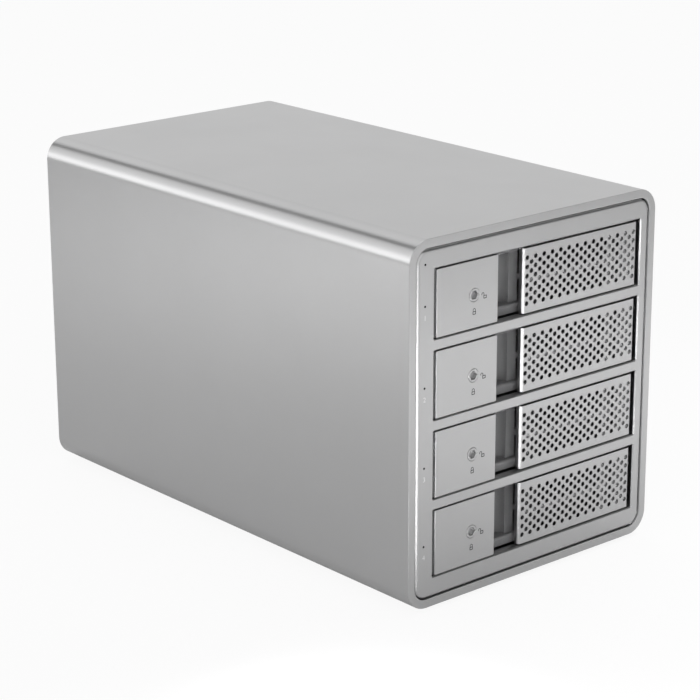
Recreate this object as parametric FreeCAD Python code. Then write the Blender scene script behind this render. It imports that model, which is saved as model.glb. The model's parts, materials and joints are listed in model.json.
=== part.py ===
"""Desktop enclosure for four 3.5-inch hard drives, in millimetres.

The shell is one rounded aluminium sleeve. A front frame with four bay openings closes it at the front and a
sheet panel with a fan closes it at the rear. Inside, a cage of two ribbed walls and two plates guides four
trays up to a board that carries one socket for each drive.

Frame: +Z is up, the front faces -Y, +X is to the right of someone looking at the front. The origin lies on the
desk, under the middle of the body.
"""
import FreeCAD, Part
import math
import os

V = FreeCAD.Vector

# ---------------------------------------------------------------- the drive that a tray holds
drive_width = 101.6
drive_length = 147.0
drive_height = 26.1
drive_screw_span_x = 95.25       # bottom screw holes, across the drive
drive_screw_span_y = 44.45       # bottom screw holes, along the drive
drive_screw_from_rear = 41.28    # first pair of holes to the socket end of the drive
drive_screw_hole_radius = 1.85

# ---------------------------------------------------------------- bays
bay_count = 4
bay_rail = 4.6                   # bar of the front frame between two openings
tray_side_gap = 0.8              # tray to opening, left and right
tray_edge_gap = 0.4              # tray to opening, above and below
tray_floor = 0.8
tray_air_gap = 5.0               # floor's front edge to the front block, where air comes in
side_rail = 4.5                  # thickness of a tray's side rail
drive_side_gap = 0.25
drive_headroom = 0.2

# ---------------------------------------------------------------- body
wall = 3.5
corner_radius = 9.4
frame_gap = 0.4                  # shadow line between sleeve and front frame
frame_stile_left = 8.9
frame_stile_right = 4.6
frame_rail = 8.2                 # above the top opening and below the lowest one
frame_thickness = 3.4
frame_edge_round = 1.2
opening_bevel = 0.4
electronics_depth = 58.9         # from the socket board to the rear panel
rear_recess = 4.0                # the rear panel sits this far inside the sleeve
rear_panel_thickness = 1.5
rear_panel_gap = 0.3
foot_height = 2.0
foot_radius = 7.0
foot_inset = 17.0
channel_radius = 3.4             # screw bosses in the sleeve's rear corners
channel_offset = 3.8
channel_length = 30.0

# ---------------------------------------------------------------- tray front
plate_left_gap = 1.1
plate_width = 31.9
plate_thickness = 1.2
finger_gap = 14.4                # between lock plate and handle
handle_end_gap = 2.0
handle_top_gap = 1.0
handle_bottom_gap = 0.4
handle_setback = 0.8             # handle's face behind the frame's face
handle_thickness = 1.2
handle_lip_depth = 2.6
handle_lip_round = 0.87
front_depth = 13.0               # the tray's front moulding
drive_front_gap = 1.0
socket_reach = 10.0              # from a drive's rear end to the socket board
tray_tail = 6.0                  # how far the side rails run past the drive
front_wall_y = 7.0
front_wall_thickness = 2.0
ledge_y = 5.0
ledge_height = 3.5
ledge_round = 1.0
roof_height = 2.4                # edge left above the scoop
scoop_width = 12.4
scoop_depth = 11.3
scoop_round = 4.0
vent_width = 41.0
vent_margin = 2.8                # from the handle's free edge to the vent
vent_rib = 2.2
slot_vent_width = 3.4
slot_vent_gap = 5.5

# ---------------------------------------------------------------- perforation of the handle
hole_radius = 0.9
hole_pitch_x = 2.304
hole_pitch_z = 1.848
hole_margin_free = 2.0           # handle's free edge to the middle of the first column
hole_margin_hinged = 1.25
hole_margin_z = 3.7
hole_sides = 4                   # few sides, because there are hundreds of holes

# ---------------------------------------------------------------- handle carrier and hinge
arm_flange = 1.8
arm_depth = 1.8
arm_bar = 1.0
hinge_inset = 5.0                # pivot to the handle's hinged end
hinge_y = 4.0
knuckle_radius = 1.9
pin_radius = 1.0
pin_running_gap = 0.05
pin_press_gap = 0.0
part_gap = 0.3                   # moving piece to its neighbour

# ---------------------------------------------------------------- lock
lock_x = 20.6                    # from the opening's left edge
lock_drop = 0.3                  # below the bay's middle
lock_radius = 2.6
lock_length = 8.2
lock_running_gap = 0.05
key_flats = 3.2
key_depth = 3.0
pointer_radius = 0.28
pointer_inset = 0.45
pointer_depth = 0.4
cam_thickness = 2.0
cam_half_width = 2.4
cam_bite = 1.5                   # how far the locked cam stands above its tray
cam_tang = 3.0                   # square end of the core that turns the cam
strike_half_width = 4.0

# ---------------------------------------------------------------- cage
cage_wall = 1.6
cage_wall_gap = 0.2              # wall to opening, so to the trays' swept space
rib_reach = 5.0
rib_overlap = 0.2                # guide ribs stand this far into the opening's height
cage_plate = 1.2
cage_plate_clear = 5.0           # plate to the outermost openings
cage_slot_half_height = 6.5
cage_slot_end_margin = 22.0
cage_screw_end_margin = 12.0     # end of the cage to its first and last side screw
boss_radius = 2.4
boss_clear = 0.2                 # post to the nearest opening
boss_depth = 8.0
boss_inset = 11.35               # post's middle to the side of the openings
tab_width = 12.0
rear_tab_height = 8.0
rear_tab_span = 92.0
screw_radius = 1.2
screw_head_ratio = 1.9           # head to shank
screw_head_height = 1.0
screw_length = 6.0
small_screw_length = 2.6
screw_hole_gap = 0.2

# ---------------------------------------------------------------- indicators
lamp_inset = 8.0                 # from the body's left side
lamp_radius = 0.45
power_lamp_rise = 16.2           # above the top bay's lamp
lamp_board_y = 12.0
lamp_board_half_width = 1.3
lamp_board_thickness = 1.0
lamp_board_margin = 3.5

# ---------------------------------------------------------------- electronics
board_thickness = 1.6
backplane_margin = 3.0
backplane_slot_height = 9.0
backplane_slot_width = 28.0
backplane_slot_gap = 7.0
backplane_slots = 3
socket_width = 42.0
socket_height = 6.4
socket_depth = 8.6
socket_offset = 20.7             # from the drive's centre line
socket_rise = 3.5                # from the drive's underside
socket_mouth_width = 37.6
socket_mouth_height = 2.6
socket_mouth_depth = 6.0
socket_tongue = 1.2
bridge_width = 100.0
bridge_end_gap = 3.0
standoff_radius = 2.6
standoff_height = 5.0
standoff_inset = 5.0
header_width = 44.0
header_height = 7.0
header_depth = 8.0
chip_size = 14.0
sink_height = 6.0
sink_fins = 5
sink_fin = 1.2
sink_base = 1.6

# ---------------------------------------------------------------- rear panel
fan_size = 80.0
fan_depth = 15.0
fan_top_margin = 8.0
fan_rim = 2.0                    # frame left between the bore and the frame's side
fan_hole_inset = 4.25            # hole's middle to the frame's side
fan_hole_radius = 2.15
fan_corner = 4.0
fan_motor_radius = 15.0
fan_motor_depth = 3.0
fan_strut = 3.0
fan_struts = 4
fan_screw_length = 8.0
rotor_hub_radius = 15.5
rotor_hub_wall = 1.5
rotor_tip_gap = 1.2
rotor_gap = 0.5
rotor_depth = 11.0
rotor_shaft_radius = 1.5
rotor_shaft_gap = 0.05
blade_count = 7
blade_root = 0.8                 # share of the hub's radius at which a blade is rooted
blade_chord = 13.0
blade_widening = 0.4             # share by which a blade is wider at the tip than at the hub
blade_thickness = 1.3
blade_camber = 1.5
blade_pitch_hub = 42.0
blade_pitch_tip = 29.0
blade_sweep = 22.0
grille_first = 7.0
grille_slot = 3.2
grille_bar = 2.2
grille_spokes = 4
grille_spoke = 3.4
usb_width = 12.0
usb_height = 12.6
usb_depth = 18.0
usb_mouth_width = 8.5
usb_mouth_height = 7.6
usb_step_width = 6.0
usb_step_height = 3.0
usb_mouth_depth = 9.0
usb_tongue_width = 5.6
usb_tongue_height = 3.2
usb_x = 0.0
inlet_x = -26.0
inlet_width = 9.2
inlet_height = 11.0
inlet_depth = 14.0
inlet_radius = 3.1
inlet_pin_radius = 1.05
inlet_bore_depth = 9.5
port_gap = 0.3
switch_from_right = 31.0         # switch's middle to the body's right side
switch_rise = 26.0               # from the sleeve's inner floor
switch_flange_width = 21.0
switch_flange_height = 15.0
switch_flange = 1.5
switch_body_width = 18.6
switch_body_height = 12.6
switch_body_depth = 12.0
switch_well_width = 16.0
switch_well_height = 10.4
switch_well_depth = 8.5
rocker_gap = 0.25
rocker_rise = 0.4                # middle of the rocker above its housing
rocker_below_pivot = 2.4
rocker_pivot_in = 2.6
rocker_tilt = 9.0
rocker_pin_radius = 1.0
rocker_pin_gap = 0.05
rocker_pin_bite = 0.8

# ---------------------------------------------------------------- worked out from the sizes above
bay_width = drive_width + 2 * (drive_side_gap + side_rail + tray_side_gap)
bay_height = tray_edge_gap + tray_floor + drive_height + drive_headroom
bay_pitch = bay_height + bay_rail
bays_height = (bay_count - 1) * bay_pitch + bay_height
shell = wall + frame_gap
body_width = 2 * shell + frame_stile_left + bay_width + frame_stile_right
body_height = 2 * (shell + frame_rail) + bays_height
drive_y = front_depth + drive_front_gap
backplane_y = drive_y + drive_length + socket_reach
panel_y = backplane_y + board_thickness + electronics_depth
body_depth = panel_y + rear_panel_thickness + rear_recess

front = -body_depth / 2
left = -body_width / 2
right = body_width / 2
base = foot_height
top = base + body_height
bay_left = left + shell + frame_stile_left
bay_right = bay_left + bay_width
bays_bottom = base + shell + frame_rail
bays_top = bays_bottom + bays_height
rear = front + body_depth
panel_inner = front + panel_y
panel_outer = panel_inner + rear_panel_thickness

plate_right = plate_left_gap + plate_width
handle_left = plate_right + finger_gap
handle_right = bay_width - handle_end_gap
handle_bottom = handle_bottom_gap
handle_top = bay_height - handle_top_gap
handle_back = handle_setback + handle_thickness
hinge_x = handle_right - hinge_inset
lock_z = bay_height / 2 - lock_drop
tray_length = drive_y + drive_length + tray_tail
cam_y = lock_length + part_gap
cam_length = bay_height - tray_edge_gap - lock_z + cam_bite
fan_bore = fan_size / 2 - fan_rim
fan_hole_half_span = fan_size / 2 - fan_hole_inset


# ---------------------------------------------------------------- shapes used throughout
def box(x0, x1, y0, y1, z0, z1):
    return Part.makeBox(x1 - x0, y1 - y0, z1 - z0, V(x0, y0, z0))


def rod_x(x0, x1, y, z, radius):
    return Part.makeCylinder(radius, x1 - x0, V(x0, y, z), V(1, 0, 0))


def rod_y(x, y0, y1, z, radius):
    return Part.makeCylinder(radius, y1 - y0, V(x, y0, z), V(0, 1, 0))


def rod_z(x, y, z0, z1, radius):
    return Part.makeCylinder(radius, z1 - z0, V(x, y, z0), V(0, 0, 1))


def prism_y(points, y0, y1):
    """A polygon of (x, z) points, drawn out from y0 to y1."""
    corners = [V(x, y0, z) for x, z in points]
    return Part.Face(Part.makePolygon(corners + corners[:1])).extrude(V(0, y1 - y0, 0))


def rounded_block(x0, x1, y0, y1, z0, z1, radius):
    """A block whose four long edges, along Y, are rounded."""
    block = box(x0, x1, y0, y1, z0, z1)
    long_edges = [e for e in block.Edges if abs(e.tangentAt(e.FirstParameter).y) > 0.99]
    return block.makeFillet(radius, long_edges)


def fused(pieces):
    whole = pieces[0].multiFuse(pieces[1:]) if len(pieces) > 1 else pieces[0]
    return whole.removeSplitter()


def without(body, tools):
    return body.cut(tools).removeSplitter()


def group(pieces):
    return Part.makeCompound(pieces)


def moved(shape, x, y, z):
    copy = shape.copy()
    copy.translate(V(x, y, z))
    return copy


def bay_floor(bay):
    """Height of a bay's lower edge. Bay 1 is the top one."""
    return bays_bottom + (bay_count - bay) * bay_pitch


def in_bay(shape, bay):
    """Places a shape drawn from the lower left corner of a bay's opening."""
    return moved(shape, bay_left, front, bay_floor(bay))


def screw(x, y, z, direction, length, radius=screw_radius):
    """A pan-head screw: the head's underside is at the point, and the shank runs along the direction."""
    shank = Part.makeCylinder(radius, length, V(x, y, z), direction)
    head = Part.makeCylinder(radius * screw_head_ratio, screw_head_height, V(x, y, z), direction * -1)
    drive = Part.makeCylinder(radius, screw_head_height / 2, V(x, y, z) - direction * screw_head_height, direction)
    return head.fuse(shank).cut(drive)


# ---------------------------------------------------------------- shell
def channel_centres():
    inner = wall + channel_offset
    return [(x, z) for x in (left + inner, right - inner) for z in (base + inner, top - inner)]


def outer_sleeve():
    """The rounded tube, with a boss in each rear corner for the rear panel's screws."""
    outer = rounded_block(left, right, front, rear, base, top, corner_radius)
    inner = rounded_block(left + wall, right - wall, front - 1, rear + 1, base + wall, top - wall,
                          corner_radius - wall)
    channels = [rod_y(x, panel_inner - channel_length, panel_inner, z, channel_radius)
                for x, z in channel_centres()]
    holes = [rod_y(x, panel_inner - screw_length - 1, panel_inner + 1, z, screw_radius)
             for x, z in channel_centres()]
    return without(fused([outer.cut(inner)] + channels), holes)


def lamp_heights():
    bays = [bay_floor(bay) + bay_height / 2 for bay in range(1, bay_count + 1)]
    return [bays[0] + power_lamp_rise] + bays


def boss_centres():
    """The frame's rear posts, which the cage is screwed to: two above the bays and two below."""
    above = bays_top + boss_radius + boss_clear
    below = bays_bottom - boss_radius - boss_clear
    return [(x, z) for x in (bay_left + boss_inset, bay_right - boss_inset) for z in (above, below)]


def front_frame():
    """The plate with the bay openings, its rounded outer edge, the posts and the lock strikes behind it."""
    inset = wall + frame_gap
    plate = rounded_block(left + inset, right - inset, front, front + frame_thickness,
                          base + inset, top - inset, corner_radius - inset)
    rim = [e for e in plate.Edges if abs(e.BoundBox.YMax - front) < 1e-6]
    plate = plate.makeFillet(frame_edge_round, rim)
    openings = [box(bay_left, bay_right, front - 1, front + frame_thickness + 1,
                    bay_floor(bay), bay_floor(bay) + bay_height) for bay in range(1, bay_count + 1)]
    lamps = [rod_y(left + lamp_inset, front - 1, front + frame_thickness + 1, z, lamp_radius)
             for z in lamp_heights()]
    posts = [rod_y(x, front + frame_thickness, front + frame_thickness + boss_depth, z, boss_radius)
             for x, z in boss_centres()]
    post_holes = [rod_y(x, front + frame_thickness + 1, front + frame_thickness + boss_depth + 1, z, screw_radius)
                  for x, z in boss_centres()]
    plate = bevelled_openings(plate.cut(openings))
    return without(fused([without(plate, lamps)] + posts + strikes()), post_holes)


def bevelled_openings(plate):
    """Breaks the front edges of the bay openings."""
    margin = 0.001
    brinks = [e for e in plate.Edges if e.BoundBox.YMax < front + margin and e.BoundBox.XMin > bay_left - margin
              and e.BoundBox.XMax < bay_right + margin]
    return plate.makeChamfer(opening_bevel, brinks)


def strikes():
    """A block above each opening that the locked cam comes to rest behind."""
    low = bay_height
    high = bay_height + bay_rail - part_gap
    block = box(lock_x - strike_half_width, lock_x + strike_half_width, frame_thickness, lock_length, low, high)
    return [in_bay(block, bay) for bay in range(1, bay_count + 1)]


def light_pipes():
    return group([rod_y(left + lamp_inset, front, front + lamp_board_y, z, lamp_radius) for z in lamp_heights()])


def indicator_board():
    x = left + lamp_inset
    heights = lamp_heights()
    return box(x - lamp_board_half_width, x + lamp_board_half_width, front + lamp_board_y,
               front + lamp_board_y + lamp_board_thickness, min(heights) - lamp_board_margin,
               max(heights) + lamp_board_margin)


def rubber_feet():
    foot = Part.makeCone(foot_radius - 0.6, foot_radius, base)
    return group([moved(foot, x, y, 0) for x in (left + foot_inset, right - foot_inset)
                  for y in (front + foot_inset, rear - foot_inset)])


# ---------------------------------------------------------------- tray, drawn from its opening's lower left corner
def tray_sled():
    """The moulding that carries a drive: front block, two side rails and a pierced floor."""
    x0 = tray_side_gap
    x1 = bay_width - tray_side_gap
    z0 = tray_edge_gap
    z1 = bay_height - tray_edge_gap
    block = box(x0, x1, plate_thickness, front_depth, z0, z1)
    rails = [box(x0, x0 + side_rail, front_depth, tray_length, z0, z1),
             box(x1 - side_rail, x1, front_depth, tray_length, z0, z1)]
    floor = box(x0, x1, front_depth + tray_air_gap, tray_length - tray_tail - 2, z0, z0 + tray_floor)
    body = fused([without(block, front_recesses(x0, x1, z0, z1))] + rails + [floor])
    return fused([without(body, rail_pockets(x0, x1, z0, z1) + floor_windows(z0)), knuckle()])


def front_recesses(x0, x1, z0, z1):
    """Everything that is hollow in the tray's front block."""
    ledge_top = z0 + ledge_height
    ledge_under = z1 - roof_height
    over_handle = box(plate_right, x1 + 1, 0, ledge_y, z0 - 1, z1 + 1)
    behind_handle = box(plate_right + scoop_width, x1 - side_rail, 0, front_wall_y, ledge_top, ledge_under)
    sweep = math.hypot(hinge_inset, hinge_y - handle_setback) + part_gap
    end_room = rod_z(hinge_x, hinge_y, z0 - 1, z1 + 1, sweep).common(
        box(hinge_x, x1 + 1, 0, front_depth, z0 - 1, z1 + 1))
    ear_room = rod_z(hinge_x, hinge_y, z0 - 1, z1 + 1, knuckle_radius + part_gap)
    vent_left = handle_left + vent_margin
    vent_right = vent_left + vent_width
    slot_left = vent_right + slot_vent_gap
    middle = bay_height / 2
    vents = [box(vent_left, vent_right, 0, front_depth + 1, ledge_top, middle - vent_rib / 2),
             box(vent_left, vent_right, 0, front_depth + 1, middle + vent_rib / 2, ledge_under),
             box(slot_left, slot_left + slot_vent_width, 0, front_depth + 1, ledge_top, ledge_under)]
    hollow = box(vent_left, hinge_x - knuckle_radius, front_wall_y + front_wall_thickness, front_depth + 1,
                 ledge_top, ledge_under)
    core_bore = rod_y(lock_x, 0, cam_y, lock_z, lock_radius + lock_running_gap)
    cam_room = box(lock_x - cam_length - part_gap, lock_x + cam_half_width + part_gap + 1, cam_y - part_gap,
                   cam_y + cam_thickness + part_gap, lock_z - cam_half_width - part_gap - 1, z1 + 1)
    driver_hole = rod_y(lock_x, cam_y, front_depth + 1, lock_z, cam_half_width)
    return [over_handle, behind_handle, scoop(ledge_top, ledge_under), ledge_rounding(x1, ledge_top, -1),
            ledge_rounding(x1, ledge_under, 1), end_room, ear_room, hollow, core_bore,
            cam_room, driver_hole] + vents


def scoop(z0, z1):
    """The finger hollow beside the lock plate, with a round corner at its deep right side."""
    right = plate_right + scoop_width
    turn = math.pi / 4
    centre = V(right - scoop_round, scoop_depth - scoop_round, z0)
    points = [V(plate_right, 0, z0), V(plate_right, scoop_depth, z0), V(centre.x, scoop_depth, z0),
              V(right, centre.y, z0), V(right, 0, z0)]
    bend = centre + V(scoop_round * math.sin(turn), scoop_round * math.cos(turn), 0)
    edges = [Part.makeLine(points[0], points[1]), Part.makeLine(points[1], points[2]),
             Part.Arc(points[2], bend, points[3]).toShape(), Part.makeLine(points[3], points[4]),
             Part.makeLine(points[4], points[0])]
    return Part.Face(Part.Wire(edges)).extrude(V(0, 0, z1 - z0))


def ledge_rounding(x1, z, side):
    """Takes the sharp corner off the ledge (side -1, below z) or off the edge over the scoop (side 1)."""
    low, high = sorted((z - side, z + side * ledge_round))
    corner = box(plate_right, x1 + 1, ledge_y - 1, ledge_y + ledge_round, low, high)
    return corner.cut(rod_x(plate_right - 1, x1 + 2, ledge_y + ledge_round, z + side * ledge_round, ledge_round))


def knuckle():
    """The fixed eye between the handle's two ears, on a web from the tray's front wall."""
    z0 = handle_bottom + arm_flange + part_gap
    z1 = handle_top - arm_flange - part_gap
    eye = rod_z(hinge_x, hinge_y, z0, z1, knuckle_radius)
    web = box(hinge_x - knuckle_radius, hinge_x, hinge_y, front_wall_y + front_wall_thickness, z0, z1)
    return without(fused([eye, web]), [pin_hole(pin_press_gap)])


def pin_hole(gap):
    return rod_z(hinge_x, hinge_y, -1, bay_height + 1, pin_radius + gap)


def rail_pockets(x0, x1, z0, z1):
    """Lightening pockets in the outer side of both rails, with a rib between them."""
    pockets = 4
    rib = 3.0
    depth = side_rail / 2
    start = front_depth + rib
    pitch = (tray_length - rib - start) / pockets
    low = z0 + ledge_height
    high = z1 - ledge_height
    made = []
    for i in range(pockets):
        y0 = start + i * pitch
        made.append(box(x0 - 1, x0 + depth, y0, y0 + pitch - rib, low, high))
        made.append(box(x1 - depth, x1 + 1, y0, y0 + pitch - rib, low, high))
    return made


def drive_screw_places():
    """The drive's bottom screw holes, in the tray's floor."""
    middle = bay_width / 2
    first = drive_y + drive_length - drive_screw_from_rear
    return [(middle + side * drive_screw_span_x / 2, y) for side in (-1, 1)
            for y in (first, first - drive_screw_span_y)]


def floor_windows(z0):
    """Air windows in the floor, and the drive's screw holes beside them."""
    border = 9.0
    bar = 10.0
    x0 = tray_side_gap + side_rail + border
    x1 = bay_width - x0
    start = front_depth + tray_air_gap + bar
    end = tray_length - tray_tail - 2 - bar
    pitch = (end + bar - start) / 3
    windows = [box(x0, x1, start + i * pitch, start + (i + 1) * pitch - bar, z0 - 1, z0 + tray_floor + 1)
               for i in range(3)]
    holes = [rod_z(x, y, z0 - 1, z0 + tray_floor + 1, drive_screw_hole_radius) for x, y in drive_screw_places()]
    return windows + holes


def lock_plate():
    plate = box(plate_left_gap, plate_right, 0, plate_thickness, tray_edge_gap, bay_height - tray_edge_gap)
    return plate.cut(rod_y(lock_x, -1, plate_thickness + 1, lock_z, lock_radius + lock_running_gap))


def hexagon(radius, sides, turn=0.0):
    step = 2 * math.pi / sides
    return [(radius * math.cos(turn + i * step), radius * math.sin(turn + i * step)) for i in range(sides)]


def lock_core():
    """The turning barrel: a six-sided key socket, a pointer dot, and a square tang behind."""
    barrel = rod_y(lock_x, 0, lock_length, lock_z, lock_radius)
    half = cam_tang / 2
    tang = box(lock_x - half, lock_x + half, lock_length, cam_y + cam_thickness, lock_z - half, lock_z + half)
    outline = [(lock_x + x, lock_z + z) for x, z in hexagon(key_flats / math.sqrt(3), 6)]
    socket = prism_y(outline, -1, key_depth)
    pointer = rod_y(lock_x + lock_radius - pointer_inset, -1, pointer_depth, lock_z, pointer_radius)
    return without(fused([barrel, tang]), [socket, pointer])


def lock_cam():
    """The arm on the core's tang: it lies to the left unlocked, and stands behind the strike when locked."""
    y0 = cam_y
    y1 = cam_y + cam_thickness
    arm = box(lock_x - cam_length, lock_x, y0, y1, lock_z - cam_half_width, lock_z + cam_half_width)
    hub = rod_y(lock_x, y0, y1, lock_z, cam_half_width)
    reach = rod_y(lock_x, y0, y1, lock_z, cam_length)
    half = cam_tang / 2
    square = box(lock_x - half, lock_x + half, y0 - 1, y1 + 1, lock_z - half, lock_z + half)
    return without(fused([arm.common(reach), hub]), [square])


def hole_centres():
    """The staggered perforation: every second column is half a step up and one hole shorter."""
    width = handle_right - handle_left - hole_margin_free - hole_margin_hinged
    height = handle_top - handle_bottom - 2 * hole_margin_z
    columns = int(width / hole_pitch_x + 1e-6) + 1
    rows = int(height / hole_pitch_z + 1e-6) + 1
    x0 = handle_left + hole_margin_free
    z0 = (handle_bottom + handle_top) / 2 - (rows - 1) * hole_pitch_z / 2
    return [(x0 + c * hole_pitch_x, z0 + r * hole_pitch_z) for c in range(columns)
            for r in range(rows) if (c + r) % 2 == 0]


def handle_grille():
    """The perforated pull plate. Its free edge rolls back into a lip for the fingertips."""
    plate = box(handle_left, handle_right, handle_setback, handle_back, handle_bottom, handle_top)
    lip = box(handle_left, handle_left + handle_thickness, handle_setback, handle_setback + handle_lip_depth,
              handle_bottom, handle_top)
    body = fused([plate, lip])
    edge = [e for e in body.Edges if e.BoundBox.XMax < handle_left + 1e-6
            and e.BoundBox.YMax < handle_setback + 1e-6]
    body = body.makeFillet(handle_lip_round, edge)
    outline = hexagon(hole_radius, hole_sides)
    holes = [prism_y([(x + dx, z + dz) for dx, dz in outline], handle_setback - 1, handle_back + 1)
             for x, z in hole_centres()]
    return body.cut(holes)


def handle_arm():
    """The carrier behind the grille: a flange along top and bottom, a bar inside the lip, and two hinge ears."""
    x0 = handle_left + handle_thickness
    y0 = handle_back
    y1 = handle_back + arm_depth
    bar = box(x0, x0 + arm_bar, y0, y1, handle_bottom, handle_top)
    pieces = [bar]
    for z0, z1 in ((handle_bottom, handle_bottom + arm_flange), (handle_top - arm_flange, handle_top)):
        pieces.append(box(x0, hinge_x + knuckle_radius, y0, y1, z0, z1))
        pieces.append(box(hinge_x - 2 * knuckle_radius, hinge_x + knuckle_radius, y0, hinge_y, z0, z1))
        pieces.append(rod_z(hinge_x, hinge_y, z0, z1, knuckle_radius))
    return without(fused(pieces), [pin_hole(pin_running_gap)])


def hinge_pin():
    return rod_z(hinge_x, hinge_y, handle_bottom, handle_top, pin_radius)


# ---------------------------------------------------------------- cage
def guide_rib_spans():
    """Lower and upper edge of each guide rib: below, between and above the bays."""
    low = [(bays_bottom - bay_rail, bays_bottom + rib_overlap)]
    between = [(bay_floor(bay) - bay_rail - rib_overlap, bay_floor(bay) + rib_overlap)
               for bay in range(1, bay_count)]
    high = [(bays_top - rib_overlap, bays_top + bay_rail)]
    return low + between + high


def cage_side(side):
    """One ribbed wall of the cage: side -1 is the left one and 1 the right one."""
    y0 = front + frame_thickness + part_gap
    y1 = front + backplane_y
    edge = bay_left - cage_wall_gap if side < 0 else bay_right + cage_wall_gap
    z0 = bays_bottom - cage_plate_clear
    z1 = bays_top + cage_plate_clear
    x_wall = sorted((edge, edge + side * cage_wall))
    x_rib = sorted((edge, edge - side * rib_reach))
    wall_plate = box(*x_wall, y0, y1, z0, z1)
    ribs = [box(*x_rib, y0, y1, low, high) for low, high in guide_rib_spans()]
    slots = [box(x_wall[0] - 1, x_wall[1] + 1, y0 + cage_slot_end_margin, y1 - cage_slot_end_margin,
                 bay_floor(bay) + bay_height / 2 - cage_slot_half_height,
                 bay_floor(bay) + bay_height / 2 + cage_slot_half_height) for bay in range(1, bay_count + 1)]
    holes = [rod_y(x, y1 - screw_length - 1, y1 + 1, z, screw_radius) for x, z in backplane_screw_places(side)]
    side_holes = [rod_x(x_wall[0] - 1, x_wall[1] + 1, y, z, screw_radius) for y, z in cage_screw_places()]
    return without(fused([wall_plate] + ribs), slots + holes + side_holes)


def backplane_screw_places(side):
    """In the rear ends of the guide ribs that lie under the top bay and over the lowest one."""
    edge = bay_left - cage_wall_gap if side < 0 else bay_right + cage_wall_gap
    x = edge - side * rib_reach / 2
    return [(x, bay_floor(1) - bay_rail / 2), (x, bay_floor(bay_count) + bay_height + bay_rail / 2)]


def cage_screw_places():
    """Along the cage's side, as (y, z): three into the top plate's flange and three into the bottom's."""
    y0 = front + frame_thickness + boss_depth + cage_screw_end_margin
    y1 = front + backplane_y - cage_screw_end_margin
    rise = cage_plate_clear / 2
    return [(y0 + i * (y1 - y0) / 2, z) for i in range(3) for z in (bays_bottom - rise, bays_top + rise)]


def cage_plate_level(level):
    """Underside of a cage plate: level 1 is the one above the bays and -1 the one below."""
    return bays_top + cage_plate_clear if level > 0 else bays_bottom - cage_plate_clear - cage_plate


def cage_plate_piece(level):
    """A plate across the cage with a flange down each side and two tabs for the front frame's posts."""
    y0 = front + frame_thickness + boss_depth
    y1 = front + backplane_y
    x0 = bay_left - cage_wall_gap - cage_wall - cage_plate
    x1 = bay_right + cage_wall_gap + cage_wall + cage_plate
    low = cage_plate_level(level)
    high = low + cage_plate
    flange = (bays_top, high) if level > 0 else (low, bays_bottom)
    pieces = [box(x0, x1, y0, y1, low, high), box(x0, x0 + cage_plate, y0, y1, *flange),
              box(x1 - cage_plate, x1, y0, y1, *flange)]
    holes = []
    for x, z in boss_centres():
        if (z > bays_bottom) == (level > 0):
            tab = (z - boss_radius, high) if level > 0 else (low, z + boss_radius)
            pieces.append(box(x - tab_width / 2, x + tab_width / 2, y0, y0 + cage_plate, *tab))
            holes.append(rod_y(x, y0 - 1, y0 + cage_plate + 1, z, screw_radius + screw_hole_gap))
    for y, z in cage_screw_places():
        holes.append(rod_x(x0 - 1, x0 + cage_plate + 1, y, z, screw_radius + screw_hole_gap))
        holes.append(rod_x(x1 - cage_plate - 1, x1 + 1, y, z, screw_radius + screw_hole_gap))
    return without(fused(pieces), holes)


def rear_tab_centres():
    z = cage_plate_level(-1) + rear_tab_height / 2 + cage_plate / 2
    return [(side * rear_tab_span / 2, z) for side in (-1, 1)]


def cage_bottom_plate():
    """The lower plate runs on to the rear panel as a shelf, with two tabs that the panel is screwed to."""
    low = cage_plate_level(-1)
    shelf = box(-bridge_width / 2 - cage_plate, bridge_width / 2 + cage_plate, front + backplane_y, panel_inner,
                low, low + cage_plate)
    tabs = [box(x - tab_width / 2, x + tab_width / 2, panel_inner - cage_plate, panel_inner, low,
                low + rear_tab_height) for x, z in rear_tab_centres()]
    holes = [rod_y(x, panel_inner - cage_plate - 1, panel_inner + 1, z, screw_radius)
             for x, z in rear_tab_centres()]
    holes += [rod_z(x, y, low - 1, low + cage_plate + 1, screw_radius) for x, y in standoff_centres()]
    return without(fused([cage_plate_piece(-1), shelf] + tabs), holes)


def cage_screws():
    """Twelve short screws: six through the flanges on each side."""
    x0 = bay_left - cage_wall_gap - cage_wall - cage_plate
    x1 = bay_right + cage_wall_gap + cage_wall + cage_plate
    made = []
    for y, z in cage_screw_places():
        made.append(screw(x0, y, z, V(1, 0, 0), small_screw_length))
        made.append(screw(x1, y, z, V(-1, 0, 0), small_screw_length))
    return group(made)


def frame_screws():
    y = front + frame_thickness + boss_depth + cage_plate
    return group([screw(x, y, z, V(0, -1, 0), screw_length) for x, z in boss_centres()])


# ---------------------------------------------------------------- electronics
def socket_board():
    """The board across the cage's rear end, pierced for air above each socket."""
    x0 = bay_left - cage_wall_gap - cage_wall
    x1 = bay_right + cage_wall_gap + cage_wall
    y0 = front + backplane_y
    y1 = y0 + board_thickness
    board = box(x0, x1, y0, y1, bays_bottom - backplane_margin, bays_top + backplane_margin)
    step = backplane_slot_width + backplane_slot_gap
    first = (x0 + x1) / 2 - (backplane_slots * step - backplane_slot_gap) / 2
    holes = []
    for bay in range(1, bay_count + 1):
        high = bay_floor(bay) + bay_height - tray_edge_gap - backplane_margin
        holes += [box(first + i * step, first + i * step + backplane_slot_width, y0 - 1, y1 + 1,
                      high - backplane_slot_height, high) for i in range(backplane_slots)]
    for side in (-1, 1):
        holes += [rod_y(x, y0 - 1, y1 + 1, z, screw_radius + screw_hole_gap)
                  for x, z in backplane_screw_places(side)]
    return without(board, holes)


def socket_board_screws():
    y = front + backplane_y + board_thickness
    return group([screw(x, y, z, V(0, -1, 0), screw_length) for side in (-1, 1)
                  for x, z in backplane_screw_places(side)])


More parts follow.
